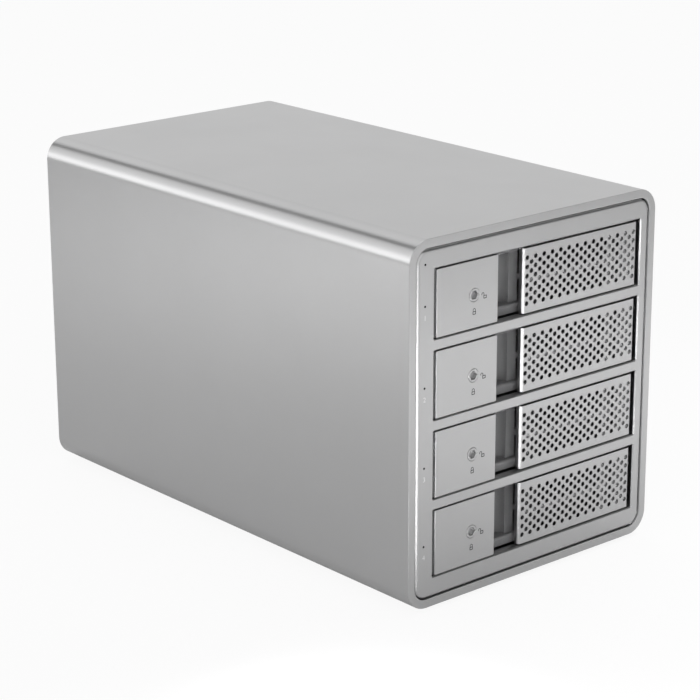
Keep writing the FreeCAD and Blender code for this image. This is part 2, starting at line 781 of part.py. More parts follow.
def drive_socket():
    """One drive's data and power socket: a long mouth with a thin tongue in it."""
    x = bay_width / 2 + socket_offset
    z = tray_edge_gap + tray_floor + socket_rise
    y1 = backplane_y
    y0 = y1 - socket_depth
    body = box(x - socket_width / 2, x + socket_width / 2, y0, y1, z, z + socket_height)
    middle = z + socket_height / 2
    mouth = box(x - socket_mouth_width / 2, x + socket_mouth_width / 2, y0 - 1, y0 + socket_mouth_depth,
                middle - socket_mouth_height / 2, middle + socket_mouth_height / 2)
    return body.cut(mouth)


def board_top():
    return cage_plate_level(-1) + cage_plate + standoff_height + board_thickness


def bridge_board_span():
    """Front and rear edge of the bridge board."""
    return front + backplane_y + board_thickness + bridge_end_gap, panel_inner - bridge_end_gap


def standoff_centres():
    y0, y1 = bridge_board_span()
    return [(side * (bridge_width / 2 - standoff_inset), y) for side in (-1, 1)
            for y in (y0 + standoff_inset, y1 - standoff_inset)]


def bridge_board():
    y0, y1 = bridge_board_span()
    high = board_top()
    board = box(-bridge_width / 2, bridge_width / 2, y0, y1, high - board_thickness, high)
    holes = [rod_z(x, y, high - board_thickness - 1, high + 1, screw_radius + screw_hole_gap)
             for x, y in standoff_centres()]
    return without(board, holes)


def bridge_fixings():
    """Four standoffs under the bridge board, each with its screw."""
    low = cage_plate_level(-1) + cage_plate
    made = []
    for x, y in standoff_centres():
        post = rod_z(x, y, low, low + standoff_height, standoff_radius)
        stud = rod_z(x, y, low - cage_plate, low, screw_radius)
        fixing = screw(x, y, board_top(), V(0, 0, -1), board_thickness)
        made.append(fused([post, stud, fixing]))
    return group(made)


def board_header():
    """The connector that joins the bridge board to the socket board."""
    y0 = front + backplane_y + board_thickness
    return box(-header_width / 2, header_width / 2, y0, y0 + header_depth, board_top(), board_top() + header_height)


def bridge_chip():
    y0, y1 = bridge_board_span()
    y = (y0 + y1) / 2
    half = chip_size / 2
    return box(-half, half, y - half, y + half, board_top(), board_top() + board_thickness)


def heat_sink():
    """A finned block on the bridge chip."""
    y0, y1 = bridge_board_span()
    y = (y0 + y1) / 2
    half = chip_size / 2
    low = board_top() + board_thickness
    pitch = (chip_size - sink_fin) / (sink_fins - 1)
    fins = [box(-half + i * pitch, -half + i * pitch + sink_fin, y - half, y + half, low, low + sink_height)
            for i in range(sink_fins)]
    return fused([box(-half, half, y - half, y + half, low, low + sink_base)] + fins)


def port_box(x, width, height, depth, gap=0.0):
    """The space of a port that stands on the bridge board and ends flush with the rear panel."""
    return box(x - width / 2 - gap, x + width / 2 + gap, panel_outer - depth, panel_outer, board_top() - gap,
               board_top() + height + gap)


def usb_port():
    """A square data port with its stepped mouth and tongue."""
    body = port_box(usb_x, usb_width, usb_height, usb_depth)
    low = board_top() + (usb_height - usb_mouth_height - usb_step_height) / 2
    deep = panel_outer - usb_mouth_depth
    mouth = box(usb_x - usb_mouth_width / 2, usb_x + usb_mouth_width / 2, deep, panel_outer + 1, low,
                low + usb_mouth_height)
    step = box(usb_x - usb_step_width / 2, usb_x + usb_step_width / 2, deep, panel_outer + 1,
               low + usb_mouth_height, low + usb_mouth_height + usb_step_height)
    middle = low + usb_mouth_height / 2
    tongue = box(usb_x - usb_tongue_width / 2, usb_x + usb_tongue_width / 2, deep, panel_outer - 1,
                 middle - usb_tongue_height / 2, middle + usb_tongue_height / 2)
    return body.cut([mouth, step]).fuse(tongue)


def power_inlet():
    """A round low-voltage inlet with its centre pin."""
    body = port_box(inlet_x, inlet_width, inlet_height, inlet_depth)
    z = board_top() + inlet_height / 2
    deep = panel_outer - inlet_bore_depth
    bore = rod_y(inlet_x, deep, panel_outer + 1, z, inlet_radius)
    pin = rod_y(inlet_x, deep, panel_outer - 1, z, inlet_pin_radius)
    return body.cut(bore).fuse(pin)


# ---------------------------------------------------------------- rear panel and fan
def fan_centre():
    return 0.0, top - wall - fan_top_margin - fan_size / 2


def fan_holes():
    x, z = fan_centre()
    return [(x + i * fan_hole_half_span, z + j * fan_hole_half_span) for i in (-1, 1) for j in (-1, 1)]


def grille_slots(y0, y1):
    """Ring slots over the fan, parted by spokes."""
    x, z = fan_centre()
    rings = []
    inner = grille_first
    while inner + grille_slot < fan_bore:
        rings.append(rod_y(x, y0, y1, z, inner + grille_slot).cut(rod_y(x, y0, y1, z, inner)))
        inner += grille_slot + grille_bar
    spokes = []
    for i in range(grille_spokes):
        spoke = box(0, fan_bore, y0, y1, -grille_spoke / 2, grille_spoke / 2)
        spoke.rotate(V(0, 0, 0), V(0, 1, 0), 45 + i * 360 / grille_spokes)
        spokes.append(moved(spoke, x, 0, z))
    return [ring.cut(spokes) for ring in rings]


def switch_centre():
    return right - switch_from_right, base + wall + switch_rise


def rear_panel():
    """The sheet panel with the fan grille, the port openings and the switch opening."""
    inset = wall + rear_panel_gap
    y0 = panel_inner
    y1 = panel_outer
    plate = rounded_block(left + inset, right - inset, y0, y1, base + inset, top - inset, corner_radius - inset)
    loose = screw_radius + screw_hole_gap
    holes = [rod_y(x, y0 - 1, y1 + 1, z, loose) for x, z in channel_centres() + rear_tab_centres()]
    holes += [rod_y(x, y0 - 1, y1 + 1, z, fan_hole_radius + screw_hole_gap) for x, z in fan_holes()]
    x, z = switch_centre()
    holes.append(box(x - switch_body_width / 2, x + switch_body_width / 2, y0 - 1, y1 + 1,
                     z - switch_body_height / 2, z + switch_body_height / 2))
    holes.append(port_box(usb_x, usb_width, usb_height, usb_depth, port_gap))
    holes.append(port_box(inlet_x, inlet_width, inlet_height, inlet_depth, port_gap))
    return without(plate, holes + grille_slots(y0 - 1, y1 + 1))


def rear_panel_screws():
    corners = [screw(x, panel_outer, z, V(0, -1, 0), screw_length) for x, z in channel_centres()]
    shelf = [screw(x, panel_outer, z, V(0, -1, 0), small_screw_length) for x, z in rear_tab_centres()]
    return group(corners + shelf)


def fan_frame():
    """The fan's square frame with its motor seat on four struts at the panel side."""
    x, z = fan_centre()
    half = fan_size / 2
    y0 = panel_inner - fan_depth
    y1 = panel_inner
    frame = rounded_block(x - half, x + half, y0, y1, z - half, z + half, fan_corner)
    frame = frame.cut(rod_y(x, y0 - 1, y1 + 1, z, fan_bore))
    struts = []
    for i in range(fan_struts):
        strut = box(0, fan_bore + 1, y1 - fan_motor_depth, y1, -fan_strut / 2, fan_strut / 2)
        strut.rotate(V(0, 0, 0), V(0, 1, 0), 45 + i * 360 / fan_struts)
        struts.append(moved(strut, x, 0, z))
    seat = rod_y(x, y1 - fan_motor_depth, y1, z, fan_motor_radius)
    holes = [rod_y(hx, y0 - 1, y1 + 1, hz, fan_hole_radius) for hx, hz in fan_holes()]
    holes.append(rod_y(x, y1 - fan_motor_depth - 1, y1 - 1, z, rotor_shaft_radius + rotor_shaft_gap))
    return without(fused([frame, seat] + struts), holes)


def blade_section(radius):
    """Cambered strip across a blade, wider, flatter and further swept towards the tip."""
    share = (radius - rotor_hub_radius) / (fan_bore - rotor_hub_radius)
    half = blade_chord / 2 * (1 + blade_widening * share)
    thick = blade_thickness / 2
    outline = ((-half, -thick), (0, blade_camber - thick), (half, -thick), (half, thick),
               (0, blade_camber + thick), (-half, thick))
    a, b, c, d, e, f = [V(x, y, radius) for x, y in outline]
    section = Part.Wire([Part.Arc(a, b, c).toShape(), Part.makeLine(c, d), Part.Arc(d, e, f).toShape(),
                         Part.makeLine(f, a)])
    section.rotate(V(0, 0, 0), V(0, 0, 1), blade_pitch_hub + (blade_pitch_tip - blade_pitch_hub) * share)
    section.rotate(V(0, 0, 0), V(0, 1, 0), blade_sweep * share)
    return section


def fan_rotor():
    """Hub, shaft and swept blades."""
    x, z = fan_centre()
    y1 = panel_inner - fan_motor_depth - rotor_gap
    y0 = y1 - rotor_depth
    tip = fan_bore - rotor_tip_gap
    hub = rod_y(0, y0, y1, 0, rotor_hub_radius)
    inside = rod_y(0, y0 + rotor_hub_wall, y1 + 1, 0, rotor_hub_radius - rotor_hub_wall)
    shaft = rod_y(0, y0, y1 + fan_motor_depth - 1, 0, rotor_shaft_radius)
    room = rod_y(0, y0, y1, 0, tip).cut(rod_y(0, y0, y1, 0, rotor_hub_radius - rotor_hub_wall / 2))
    root = rotor_hub_radius * blade_root
    blade = Part.makeLoft([blade_section(radius) for radius in (root, (root + tip) / 2, tip + 1)], True)
    blade.translate(V(0, (y0 + y1) / 2, 0))
    blades = []
    for i in range(blade_count):
        turned = blade.copy()
        turned.rotate(V(0, 0, 0), V(0, 1, 0), i * 360 / blade_count)
        blades.append(turned.common(room))
    return moved(fused([hub.cut(inside), shaft] + blades), x, 0, z)


def fan_screws():
    return group([screw(x, panel_outer, z, V(0, -1, 0), fan_screw_length, fan_hole_radius)
                  for x, z in fan_holes()])


def rocker_pivot_y():
    return panel_outer + switch_flange - rocker_pivot_in


def switch_housing():
    """The switch's flange, its body behind the panel, and the well that the rocker tilts in."""
    x, z = switch_centre()
    face = panel_outer + switch_flange
    flange = box(x - switch_flange_width / 2, x + switch_flange_width / 2, panel_outer, face,
                 z - switch_flange_height / 2, z + switch_flange_height / 2)
    body = box(x - switch_body_width / 2, x + switch_body_width / 2, panel_outer - switch_body_depth,
               panel_outer, z - switch_body_height / 2, z + switch_body_height / 2)
    half = switch_well_height / 2
    well = box(x - switch_well_width / 2, x + switch_well_width / 2, face - switch_well_depth, face + 1,
               z - half, z + half)
    pins = rod_z(x, rocker_pivot_y(), z - half - rocker_pin_bite, z + half + rocker_pin_bite,
                 rocker_pin_radius + rocker_pin_gap)
    return without(fused([flange, body]), [well, pins])


def power_rocker():
    """The rocker with its two pins, tilted to its off side. It is round about its pivot below a shallow V."""
    x, z = switch_centre()
    pivot = rocker_pivot_y()
    half = switch_well_height / 2 - rocker_gap
    radius = switch_well_width / 2 - rocker_gap
    rise = rocker_pivot_in + rocker_rise
    end_rise = rise + radius * math.tan(math.radians(rocker_tilt))
    points = [(-radius, -rocker_below_pivot), (radius, -rocker_below_pivot), (radius, end_rise), (0, rise),
              (-radius, end_rise)]
    corners = [V(px, py, -half) for px, py in points]
    paddle = Part.Face(Part.makePolygon(corners + corners[:1])).extrude(V(0, 0, 2 * half))
    paddle = paddle.common(rod_z(0, 0, -half, half, radius))
    reach = switch_well_height / 2 + rocker_pin_bite
    body = fused([paddle, rod_z(0, 0, -reach, reach, rocker_pin_radius)])
    body.rotate(V(0, 0, 0), V(0, 0, 1), rocker_tilt)
    return moved(body, x, pivot, z)


# ---------------------------------------------------------------- every piece by name
def tray_pieces():
    return {
        "sled": tray_sled(),
        "lock_plate": lock_plate(),
        "lock_core": lock_core(),
        "lock_cam": lock_cam(),
        "handle_grille": handle_grille(),
        "handle_arm": handle_arm(),
        "hinge_pin": hinge_pin(),
    }


def all_pieces():
    pieces = {
        "outer_sleeve": outer_sleeve(),
        "front_frame": front_frame(),
        "light_pipes": light_pipes(),
        "indicator_board": indicator_board(),
        "rubber_feet": rubber_feet(),
        "cage_wall_left": cage_side(-1),
        "cage_wall_right": cage_side(1),
        "cage_top_plate": cage_plate_piece(1),
        "cage_bottom_plate": cage_bottom_plate(),
        "cage_screws": cage_screws(),
        "frame_screws": frame_screws(),
        "socket_board": socket_board(),
        "socket_board_screws": socket_board_screws(),
        "bridge_board": bridge_board(),
        "bridge_fixings": bridge_fixings(),
        "board_header": board_header(),
        "bridge_chip": bridge_chip(),
        "heat_sink": heat_sink(),
        "usb_port": usb_port(),
        "power_inlet": power_inlet(),
        "rear_panel": rear_panel(),
        "rear_panel_screws": rear_panel_screws(),
        "fan_frame": fan_frame(),
        "fan_rotor": fan_rotor(),
        "fan_screws": fan_screws(),
        "switch_housing": switch_housing(),
        "power_rocker": power_rocker(),
    }
    tray = tray_pieces()
    socket = drive_socket()
    for bay in range(1, bay_count + 1):
        pieces[f"drive_socket_{bay}"] = in_bay(socket, bay)
        for name, shape in tray.items():
            pieces[f"tray_{bay}_{name}"] = in_bay(shape, bay)
    return pieces


os.makedirs("parts", exist_ok=True)
for name, shape in all_pieces().items():
    shape.exportStep(f"parts/{name}.step")
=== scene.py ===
"""Dresses the packed drive enclosure: blasted aluminium shell, perforated handles, locks, screws and a studio."""
import json
import math

import bmesh
import bpy
from mathutils import Matrix, Vector


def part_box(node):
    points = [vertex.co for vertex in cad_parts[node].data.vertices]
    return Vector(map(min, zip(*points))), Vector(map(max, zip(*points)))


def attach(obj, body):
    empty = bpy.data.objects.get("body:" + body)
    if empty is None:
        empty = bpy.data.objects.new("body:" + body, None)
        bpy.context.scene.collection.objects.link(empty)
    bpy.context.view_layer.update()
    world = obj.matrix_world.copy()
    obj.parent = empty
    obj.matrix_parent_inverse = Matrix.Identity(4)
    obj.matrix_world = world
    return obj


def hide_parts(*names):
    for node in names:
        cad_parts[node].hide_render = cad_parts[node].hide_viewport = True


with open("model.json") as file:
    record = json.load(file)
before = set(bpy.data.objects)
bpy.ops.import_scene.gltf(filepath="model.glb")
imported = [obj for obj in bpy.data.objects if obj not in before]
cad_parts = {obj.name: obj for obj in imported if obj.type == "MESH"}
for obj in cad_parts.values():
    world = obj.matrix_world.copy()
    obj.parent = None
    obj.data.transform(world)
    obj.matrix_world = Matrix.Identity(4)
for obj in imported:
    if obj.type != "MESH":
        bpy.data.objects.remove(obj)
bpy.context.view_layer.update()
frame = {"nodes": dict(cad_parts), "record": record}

bl_info = {
    "name": "Drive enclosure dresser",
    "version": (1, 0, 0),
    "blender": (4, 5, 0),
    "location": "View3D > Sidebar > Enclosure",
    "description": "Builds the visible pieces and the studio of a desktop drive enclosure around its packed model",
    "category": "Object",
}

BAYS = (1, 2, 3, 4)
SLEEVE_LOW, SLEEVE_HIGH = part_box("outer_sleeve")
FRONT = SLEEVE_LOW.y
REAR = SLEEVE_HIGH.y
PRINT = 0.00002  # thickness of a printed mark, and how far the frame stands behind the sleeve's front end
EVEN_RING = 0.00008  # a ring this far inside a broken edge keeps the flat beside it evenly shaded
SMALL_SCREW = 0.0012  # radius of the panel, cage and board screws
FAN_SCREW = 0.00215  # radius of the fan screws
HEAD_SHARE = 1.9  # radius of a screw's head to its shank's
HEAD_HEIGHT = 0.001
SHARP = math.radians(30.0)  # an edge that turns by more than this stays sharp


# ---------------------------------------------------------------- sizes and colours that a user would change
def length(name, description, default):
    return bpy.props.FloatProperty(name=name, description=description, default=default, min=0.0, precision=5,
                                   unit="LENGTH")


def colour(name, description, default):
    return bpy.props.FloatVectorProperty(name=name, description=description, default=default, size=4, min=0.0,
                                         max=1.0, subtype="COLOR")


class EnclosureShellSizes(bpy.types.PropertyGroup):
    """Sizes of the sleeve and the front frame."""
    corner_radius: length("Corner radius", "Outer radius of the sleeve's four long edges", 0.0094)
    wall: length("Wall", "Thickness of the sleeve", 0.0035)
    edge_break: length("Edge break", "Small chamfer on machined edges", 0.00022)
    shadow_gap: length("Shadow gap", "Gap between the sleeve and the front frame", 0.0003)
    frame_round: length("Frame round", "Radius of the front frame's outer edge", 0.0016)
    frame_thickness: length("Frame thickness", "Thickness of the front frame's plate", 0.0034)
    boss_radius: length("Boss radius", "Radius of the sleeve's rear screw bosses", 0.0034)
    boss_offset: length("Boss offset", "Centre of a rear boss from the sleeve's inner faces", 0.0038)
    boss_length: length("Boss length", "Length of the sleeve's rear screw bosses", 0.03)
    lamp_inset: length("Lamp inset", "Indicator lamps from the body's left side", 0.008)
    lamp_radius: length("Lamp radius", "Radius of the indicator holes", 0.00045)
    opening_bevel: length("Opening bevel", "Bevel round the bay openings", 0.00045)


class EnclosureHandleSizes(bpy.types.PropertyGroup):
    """Sizes of the perforated handle plates."""
    plate_thickness: length("Plate thickness", "Thickness of the perforated plate", 0.0012)
    lip_round: length("Lip round", "Outer radius of the rolled lip", 0.001)
    hole_radius: length("Hole radius", "Radius of one perforation", 0.00096)
    column_pitch: length("Column pitch", "Distance between two columns of holes", 0.002304)
    row_step: length("Row step", "Half the distance between two holes of a column", 0.001848)
    margin_left: length("Margin at the lip", "Handle's free edge to the first column", 0.002)
    columns: bpy.props.IntProperty(name="Columns", description="Columns of holes", default=27, min=1)
    rows: bpy.props.IntProperty(name="Rows", description="Staggered rows of holes", default=11, min=1)
    web_depth: length("Web depth", "Depth of the ribs behind the plate", 0.0008)
    rib_height: length("Rib height", "Height of the rib along the middle", 0.0016)
    rib_drop: length("Rib drop", "Rib's middle below the handle's", 0.0005)
    hinge_web: length("Hinge web", "Width of the full web at the hinge", 0.0075)
    bar_inset: length("Bar inset", "Hinged end to the upright bar's middle", 0.0143)
    bar_width: length("Bar width", "Width of the upright bar", 0.0036)


class EnclosureLockSizes(bpy.types.PropertyGroup):
    """Sizes of the lock barrels and the signs round them."""
    barrel_radius: length("Barrel radius", "Radius of the turning barrel", 0.0026)
    socket_flats: length("Socket width", "Key socket across its flats", 0.0032)
    socket_depth: length("Socket depth", "Depth of the key socket", 0.0018)
    # kept thin, so the plate's edges are mostly its grey moulding backing: painted shade in the gap round the plate
    skin: length("Skin", "Thickness of the lock plate's metal face", 0.00015)
    sign_width: length("Sign width", "Width of a padlock sign", 0.0017)
    closed_drop: length("Closed sign drop", "Closed padlock sign below the barrel's axis", 0.0064)
    open_shift: length("Open sign shift", "Open padlock sign to the right of the barrel's axis", 0.0056)


class EnclosureColours(bpy.types.PropertyGroup):
    """Base colours of the finishes."""
    aluminium: colour("Aluminium", "Silver anodised aluminium", (0.5, 0.5, 0.503, 1.0))
    moulding: colour("Moulding", "Grey mouldings of trays and cage", (0.19, 0.19, 0.194, 1.0))
    connector: colour("Connector", "Black connectors, fan and switch", (0.02, 0.02, 0.022, 1.0))
    zinc: colour("Zinc", "Zinc plated steel", (0.55, 0.55, 0.54, 1.0))
    board: colour("Board", "Solder mask of the boards", (0.012, 0.09, 0.035, 1.0))
    panel: colour("Rear panel", "Powder coat of the rear panel", (0.022, 0.022, 0.024, 1.0))
    rubber: colour("Rubber", "Rubber of the feet", (0.02, 0.02, 0.02, 1.0))
    ink: colour("Ink", "Print of the padlock signs", (0.02, 0.02, 0.021, 1.0))
    pale_ink: colour("Pale ink", "Print of the bay numbers", (0.8, 0.8, 0.8, 1.0))


class EnclosureStudio(bpy.types.PropertyGroup):
    """Camera, lamps and floor."""
    focal: bpy.props.FloatProperty(name="Focal length", description="Camera lens in millimetres", default=121.49)
    camera_place: bpy.props.FloatVectorProperty(name="Camera place", description="Camera's place", size=3,
                                                default=(-0.63146, -0.73747, 0.37400), subtype="TRANSLATION")
    azimuth: bpy.props.FloatProperty(name="Azimuth", description="Camera round the object, from the front",
                                     default=math.radians(-40.859), subtype="ANGLE")
    elevation: bpy.props.FloatProperty(name="Elevation", description="Camera above the horizon",
                                       default=math.radians(17.554), subtype="ANGLE")
    roll: bpy.props.FloatProperty(name="Roll", description="Camera about its own axis",
                                  default=math.radians(-0.201), subtype="ANGLE")
    world_level: bpy.props.FloatProperty(name="World level", description="Light from all round", default=1.0)
    strip_level: bpy.props.FloatProperty(name="Strip light", default=2.05,
                                         description="Level of the long soft light behind the left shoulder")
    gap_level: bpy.props.FloatProperty(name="Gap", description="Level of the gap between the two overhead lights",
                                       default=0.05)
    shade_level: bpy.props.FloatProperty(name="Shade", description="Level of the dim zone high at the right front",
                                         default=0.08)
    pool_power: bpy.props.FloatProperty(name="Floor lamp", default=1.5, unit="POWER",
                                        description="Power of the lamp that lights the floor at the left")
    near_power: bpy.props.FloatProperty(name="Near lamp", default=0.2, unit="POWER",
                                        description="Power of the lamp that lights the floor at the left corner")
    side_power: bpy.props.FloatProperty(name="Side lamp", default=0.8, unit="POWER",
                                        description="Power of the lamp that lights the floor at the left rear")
    front_power: bpy.props.FloatProperty(name="Front lamp", default=0.48, unit="POWER",
                                         description="Power of the lamp that lights the floor in front")
    mirrored_share: bpy.props.FloatProperty(name="Mirrored share", default=0.1, min=0.0, max=1.0,
                                            description="Share of the floor's plain white that metal mirrors")
    top_power: bpy.props.FloatProperty(name="Top lamp", description="Power of the overhead lamp", default=1.5,
                                       unit="POWER")


# ---------------------------------------------------------------- node tree helpers
def add_node(tree, kind, **settings):
    node = tree.nodes.new(kind)
    for key, value in settings.items():
        setattr(node, key, value)
    return node


def set_inputs(node, **values):
    """Sets sockets by their names, with spaces written as underscores."""
    for key, value in values.items():
        node.inputs[key.replace("_", " ")].default_value = value
    return node


def maths(tree, operation, *values):
    """A maths node on sockets or plain numbers."""
    node = add_node(tree, "ShaderNodeMath", operation=operation)
    for socket, value in zip(node.inputs, values):
        if isinstance(value, (int, float)):
            socket.default_value = value
        else:
            tree.links.new(value, socket)
    return node.outputs[0]


def mixed(tree, factor, first, second):
    """Goes from the first level to the second as the factor goes from 0 to 1."""
    node = add_node(tree, "ShaderNodeMapRange")
    tree.links.new(factor, node.inputs["Value"])
    for name, value in (("To Min", first), ("To Max", second)):
        if isinstance(value, (int, float)):
            node.inputs[name].default_value = value
        else:
            tree.links.new(value, node.inputs[name])
    return node.outputs["Result"]


def group_socket(tree, name, direction, kind, default=None):
    socket = tree.interface.new_socket(name=name, in_out=direction, socket_type=kind)
    if default is not None:
        socket.default_value = default
    return socket


def grain_group():
    """Shader group for a grained surface: a height for bump and a slow shade that varies over the surface."""
    tree = bpy.data.node_groups.new("Fine grain", "ShaderNodeTree")
    group_socket(tree, "Grain", "INPUT", "NodeSocketFloat", 9000.0)
    group_socket(tree, "Cloud", "INPUT", "NodeSocketFloat", 30.0)
    group_socket(tree, "Shade low", "INPUT", "NodeSocketFloat", 0.97)
    group_socket(tree, "Shade high", "INPUT", "NodeSocketFloat", 1.0)
    group_socket(tree, "Height", "OUTPUT", "NodeSocketFloat")
    group_socket(tree, "Shade", "OUTPUT", "NodeSocketFloat")
    inside = add_node(tree, "NodeGroupInput")
    outside = add_node(tree, "NodeGroupOutput")
    place = add_node(tree, "ShaderNodeTexCoord")
    fine = add_node(tree, "ShaderNodeTexNoise", noise_dimensions="3D")
    set_inputs(fine, Detail=2.0, Roughness=0.6)
    cloud = add_node(tree, "ShaderNodeTexNoise", noise_dimensions="3D")
    set_inputs(cloud, Detail=3.0, Roughness=0.5)
    spread = add_node(tree, "ShaderNodeMapRange")
    set_inputs(spread, From_Min=0.3, From_Max=0.7)
    links = tree.links
    links.new(place.outputs["Object"], fine.inputs["Vector"])
    links.new(place.outputs["Object"], cloud.inputs["Vector"])
    links.new(inside.outputs["Grain"], fine.inputs["Scale"])
    links.new(inside.outputs["Cloud"], cloud.inputs["Scale"])
    links.new(cloud.outputs["Fac"], spread.inputs["Value"])
    links.new(inside.outputs["Shade low"], spread.inputs["To Min"])
    links.new(inside.outputs["Shade high"], spread.inputs["To Max"])
    links.new(fine.outputs["Fac"], outside.inputs["Height"])
    links.new(spread.outputs["Result"], outside.inputs["Shade"])
    return tree


def finish_material(name, base, metallic, roughness, grain, depth, shade_low=0.96, rough_spread=0.06, cloud=30.0,
                    **shader_values):
    """A material with one Principled shader, a grained bump, and a slow change of shade and gloss."""
    material = bpy.data.materials.new(name)
    material.use_nodes = True
    tree = material.node_tree
    shader = tree.nodes["Principled BSDF"]
    set_inputs(shader, Metallic=metallic, **shader_values)
    group = add_node(tree, "ShaderNodeGroup", node_tree=bpy.data.node_groups["Fine grain"])
    set_inputs(group, Grain=grain, Cloud=cloud, Shade_low=shade_low, Shade_high=1.0)
    tint = add_node(tree, "ShaderNodeMix", data_type="RGBA", blend_type="MULTIPLY")
    tint.inputs["Factor"].default_value = 1.0
    tint.inputs["A"].default_value = base
    gloss = add_node(tree, "ShaderNodeMapRange")
    set_inputs(gloss, From_Min=shade_low, From_Max=1.0, To_Min=roughness + rough_spread, To_Max=roughness)
    bump = add_node(tree, "ShaderNodeBump")
    set_inputs(bump, Strength=0.6, Distance=depth)
    links = tree.links
    links.new(group.outputs["Shade"], tint.inputs["B"])
    links.new(tint.outputs["Result"], shader.inputs["Base Color"])
    links.new(group.outputs["Shade"], gloss.inputs["Value"])
    links.new(gloss.outputs["Result"], shader.inputs["Roughness"])
    links.new(group.outputs["Height"], bump.inputs["Height"])
    links.new(bump.outputs["Normal"], shader.inputs["Normal"])
    return material


# ---------------------------------------------------------------- mesh helpers
def finished_piece(name, mesh, body, material, replaced=()):
    """Links a mesh as a piece, gives it its material, and lets it ride on its body."""
    piece = bpy.data.objects.new(name, mesh)
    bpy.context.scene.collection.objects.link(piece)
    if material is not None:
        mesh.materials.clear()
        mesh.materials.append(material)
    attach(piece, body)
    if replaced:
        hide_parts(*replaced)
    return piece


def shade(mesh):
    """Smooth faces, with sharp edges where the surface turns by more than the sharp angle."""
    mesh.polygons.foreach_set("use_smooth", [True] * len(mesh.polygons))
    mesh.set_sharp_from_angle(angle=SHARP)
    return mesh


def mesh_from(name, build):
    """A shaded mesh, filled by a function that takes a bmesh."""
    work = bmesh.new()
    build(work)
    bmesh.ops.remove_doubles(work, verts=work.verts, dist=1e-7)
    bmesh.ops.recalc_face_normals(work, faces=work.faces)
    mesh = bpy.data.meshes.new(name)
    work.to_mesh(mesh)
    work.free()
    return shade(mesh)


def rounded_outline(low_x, high_x, low_z, high_z, radius, steps=16):
    """Points (x, z) round a rectangle with rounded corners."""
    radius = max(radius, 0.00005)
    centres = ((high_x - radius, high_z - radius, 0.0), (low_x + radius, high_z - radius, 0.5 * math.pi),
               (low_x + radius, low_z + radius, math.pi), (high_x - radius, low_z + radius, 1.5 * math.pi))
    points = []
    for x, z, start in centres:
        for i in range(steps + 1):
            turn = start + 0.5 * math.pi * i / steps
            points.append((x + radius * math.cos(turn), z + radius * math.sin(turn)))
    return points


def add_ring(work, points, y):
    return [work.verts.new((x, y, z)) for x, z in points]


def join_rings(work, *rings):
    """Bands of quads from each ring to the next, all with as many points."""
    for first, second in zip(rings, rings[1:]):
        count = len(first)
        for i in range(count):
            work.faces.new((first[i], first[(i + 1) % count], second[(i + 1) % count], second[i]))


def ring_edges(work, ring):
    found = []
    for i, vert in enumerate(ring):
        other = ring[(i + 1) % len(ring)]
        found.append(work.edges.get((vert, other)) or work.edges.new((vert, other)))
    return found


def fill_between(work, rings):
    """Fills the flat area between one outer ring and the rings inside it."""
    edges = [edge for ring in rings for edge in ring_edges(work, ring)]
    bmesh.ops.triangle_fill(work, use_beauty=True, use_dissolve=False, edges=edges)


def circle_outline(x, z, radius, count=24):
    return [(x + radius * math.cos(2 * math.pi * i / count), z + radius * math.sin(2 * math.pi * i / count))
            for i in range(count)]


def add_tube(work, x, z, y0, y1, radius, bore, count=32):
    rings = [add_ring(work, circle_outline(x, z, r, count), y)
             for r, y in ((radius, y0), (radius, y1), (bore, y1), (bore, y0))]
    join_rings(work, *rings, rings[0])


def add_block(work, low, high):
    size = Vector(high) - Vector(low)
    middle = (Vector(high) + Vector(low)) / 2
    made = bmesh.ops.create_cube(work, size=1.0)
    bmesh.ops.scale(work, vec=size, verts=made["verts"])
    bmesh.ops.translate(work, vec=middle, verts=made["verts"])


# ---------------------------------------------------------------- the sleeve and the front frame
def build_sleeve(work, sizes):
    """The rounded tube with broken edges at both ends, and its rear screw bosses."""
    cut = sizes.edge_break
    wall = sizes.wall
    half = cut * (1 - math.sqrt(0.5))
    even = cut + EVEN_RING
    outside = ((0.0, REAR - cut), (0.0, REAR - even), (0.0, FRONT + even), (0.0, FRONT + cut))
    front_end = ((half, FRONT + half), (cut, FRONT), (even, FRONT), (wall - even, FRONT), (wall - cut, FRONT),
                 (wall - half, FRONT + half))
    inside = ((wall, FRONT + cut), (wall, REAR - cut))
    rear_end = ((wall - half, REAR - half), (wall - cut, REAR), (cut, REAR), (half, REAR - half))
    rings = []
    for inset, y in outside + front_end + inside + rear_end:
        outline = rounded_outline(SLEEVE_LOW.x + inset, SLEEVE_HIGH.x - inset, SLEEVE_LOW.z + inset,
                                  SLEEVE_HIGH.z - inset, sizes.corner_radius - inset, 24)
        rings.append(add_ring(work, outline, y))
    join_rings(work, *rings, rings[0])
    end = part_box("rear_panel")[0].y
    inner = wall + sizes.boss_offset
    for x in (SLEEVE_LOW.x + inner, SLEEVE_HIGH.x - inner):
        for z in (SLEEVE_LOW.z + inner, SLEEVE_HIGH.z - inner):
            add_tube(work, x, z, end - sizes.boss_length, end, sizes.boss_radius, SMALL_SCREW)


def bay_openings():
    """Low x, high x, low z, high z of each opening, from the tray in it and a clearance round it."""
    beside, above = 0.0008, 0.0004  # clearances round a tray
    found = []
    for bay in BAYS:
        low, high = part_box(f"tray_{bay}_sled")
        found.append((low.x - beside, high.x + beside, low.z - above, high.z + above))
    return found


def lamp_heights():
    """The power lamp stands above the first bay's lamp, and each bay's lamp at the middle of its opening."""
    rise = 0.0162
    bays = [(low + high) / 2 for _, _, low, high in bay_openings()]
    return [bays[0] + rise] + bays


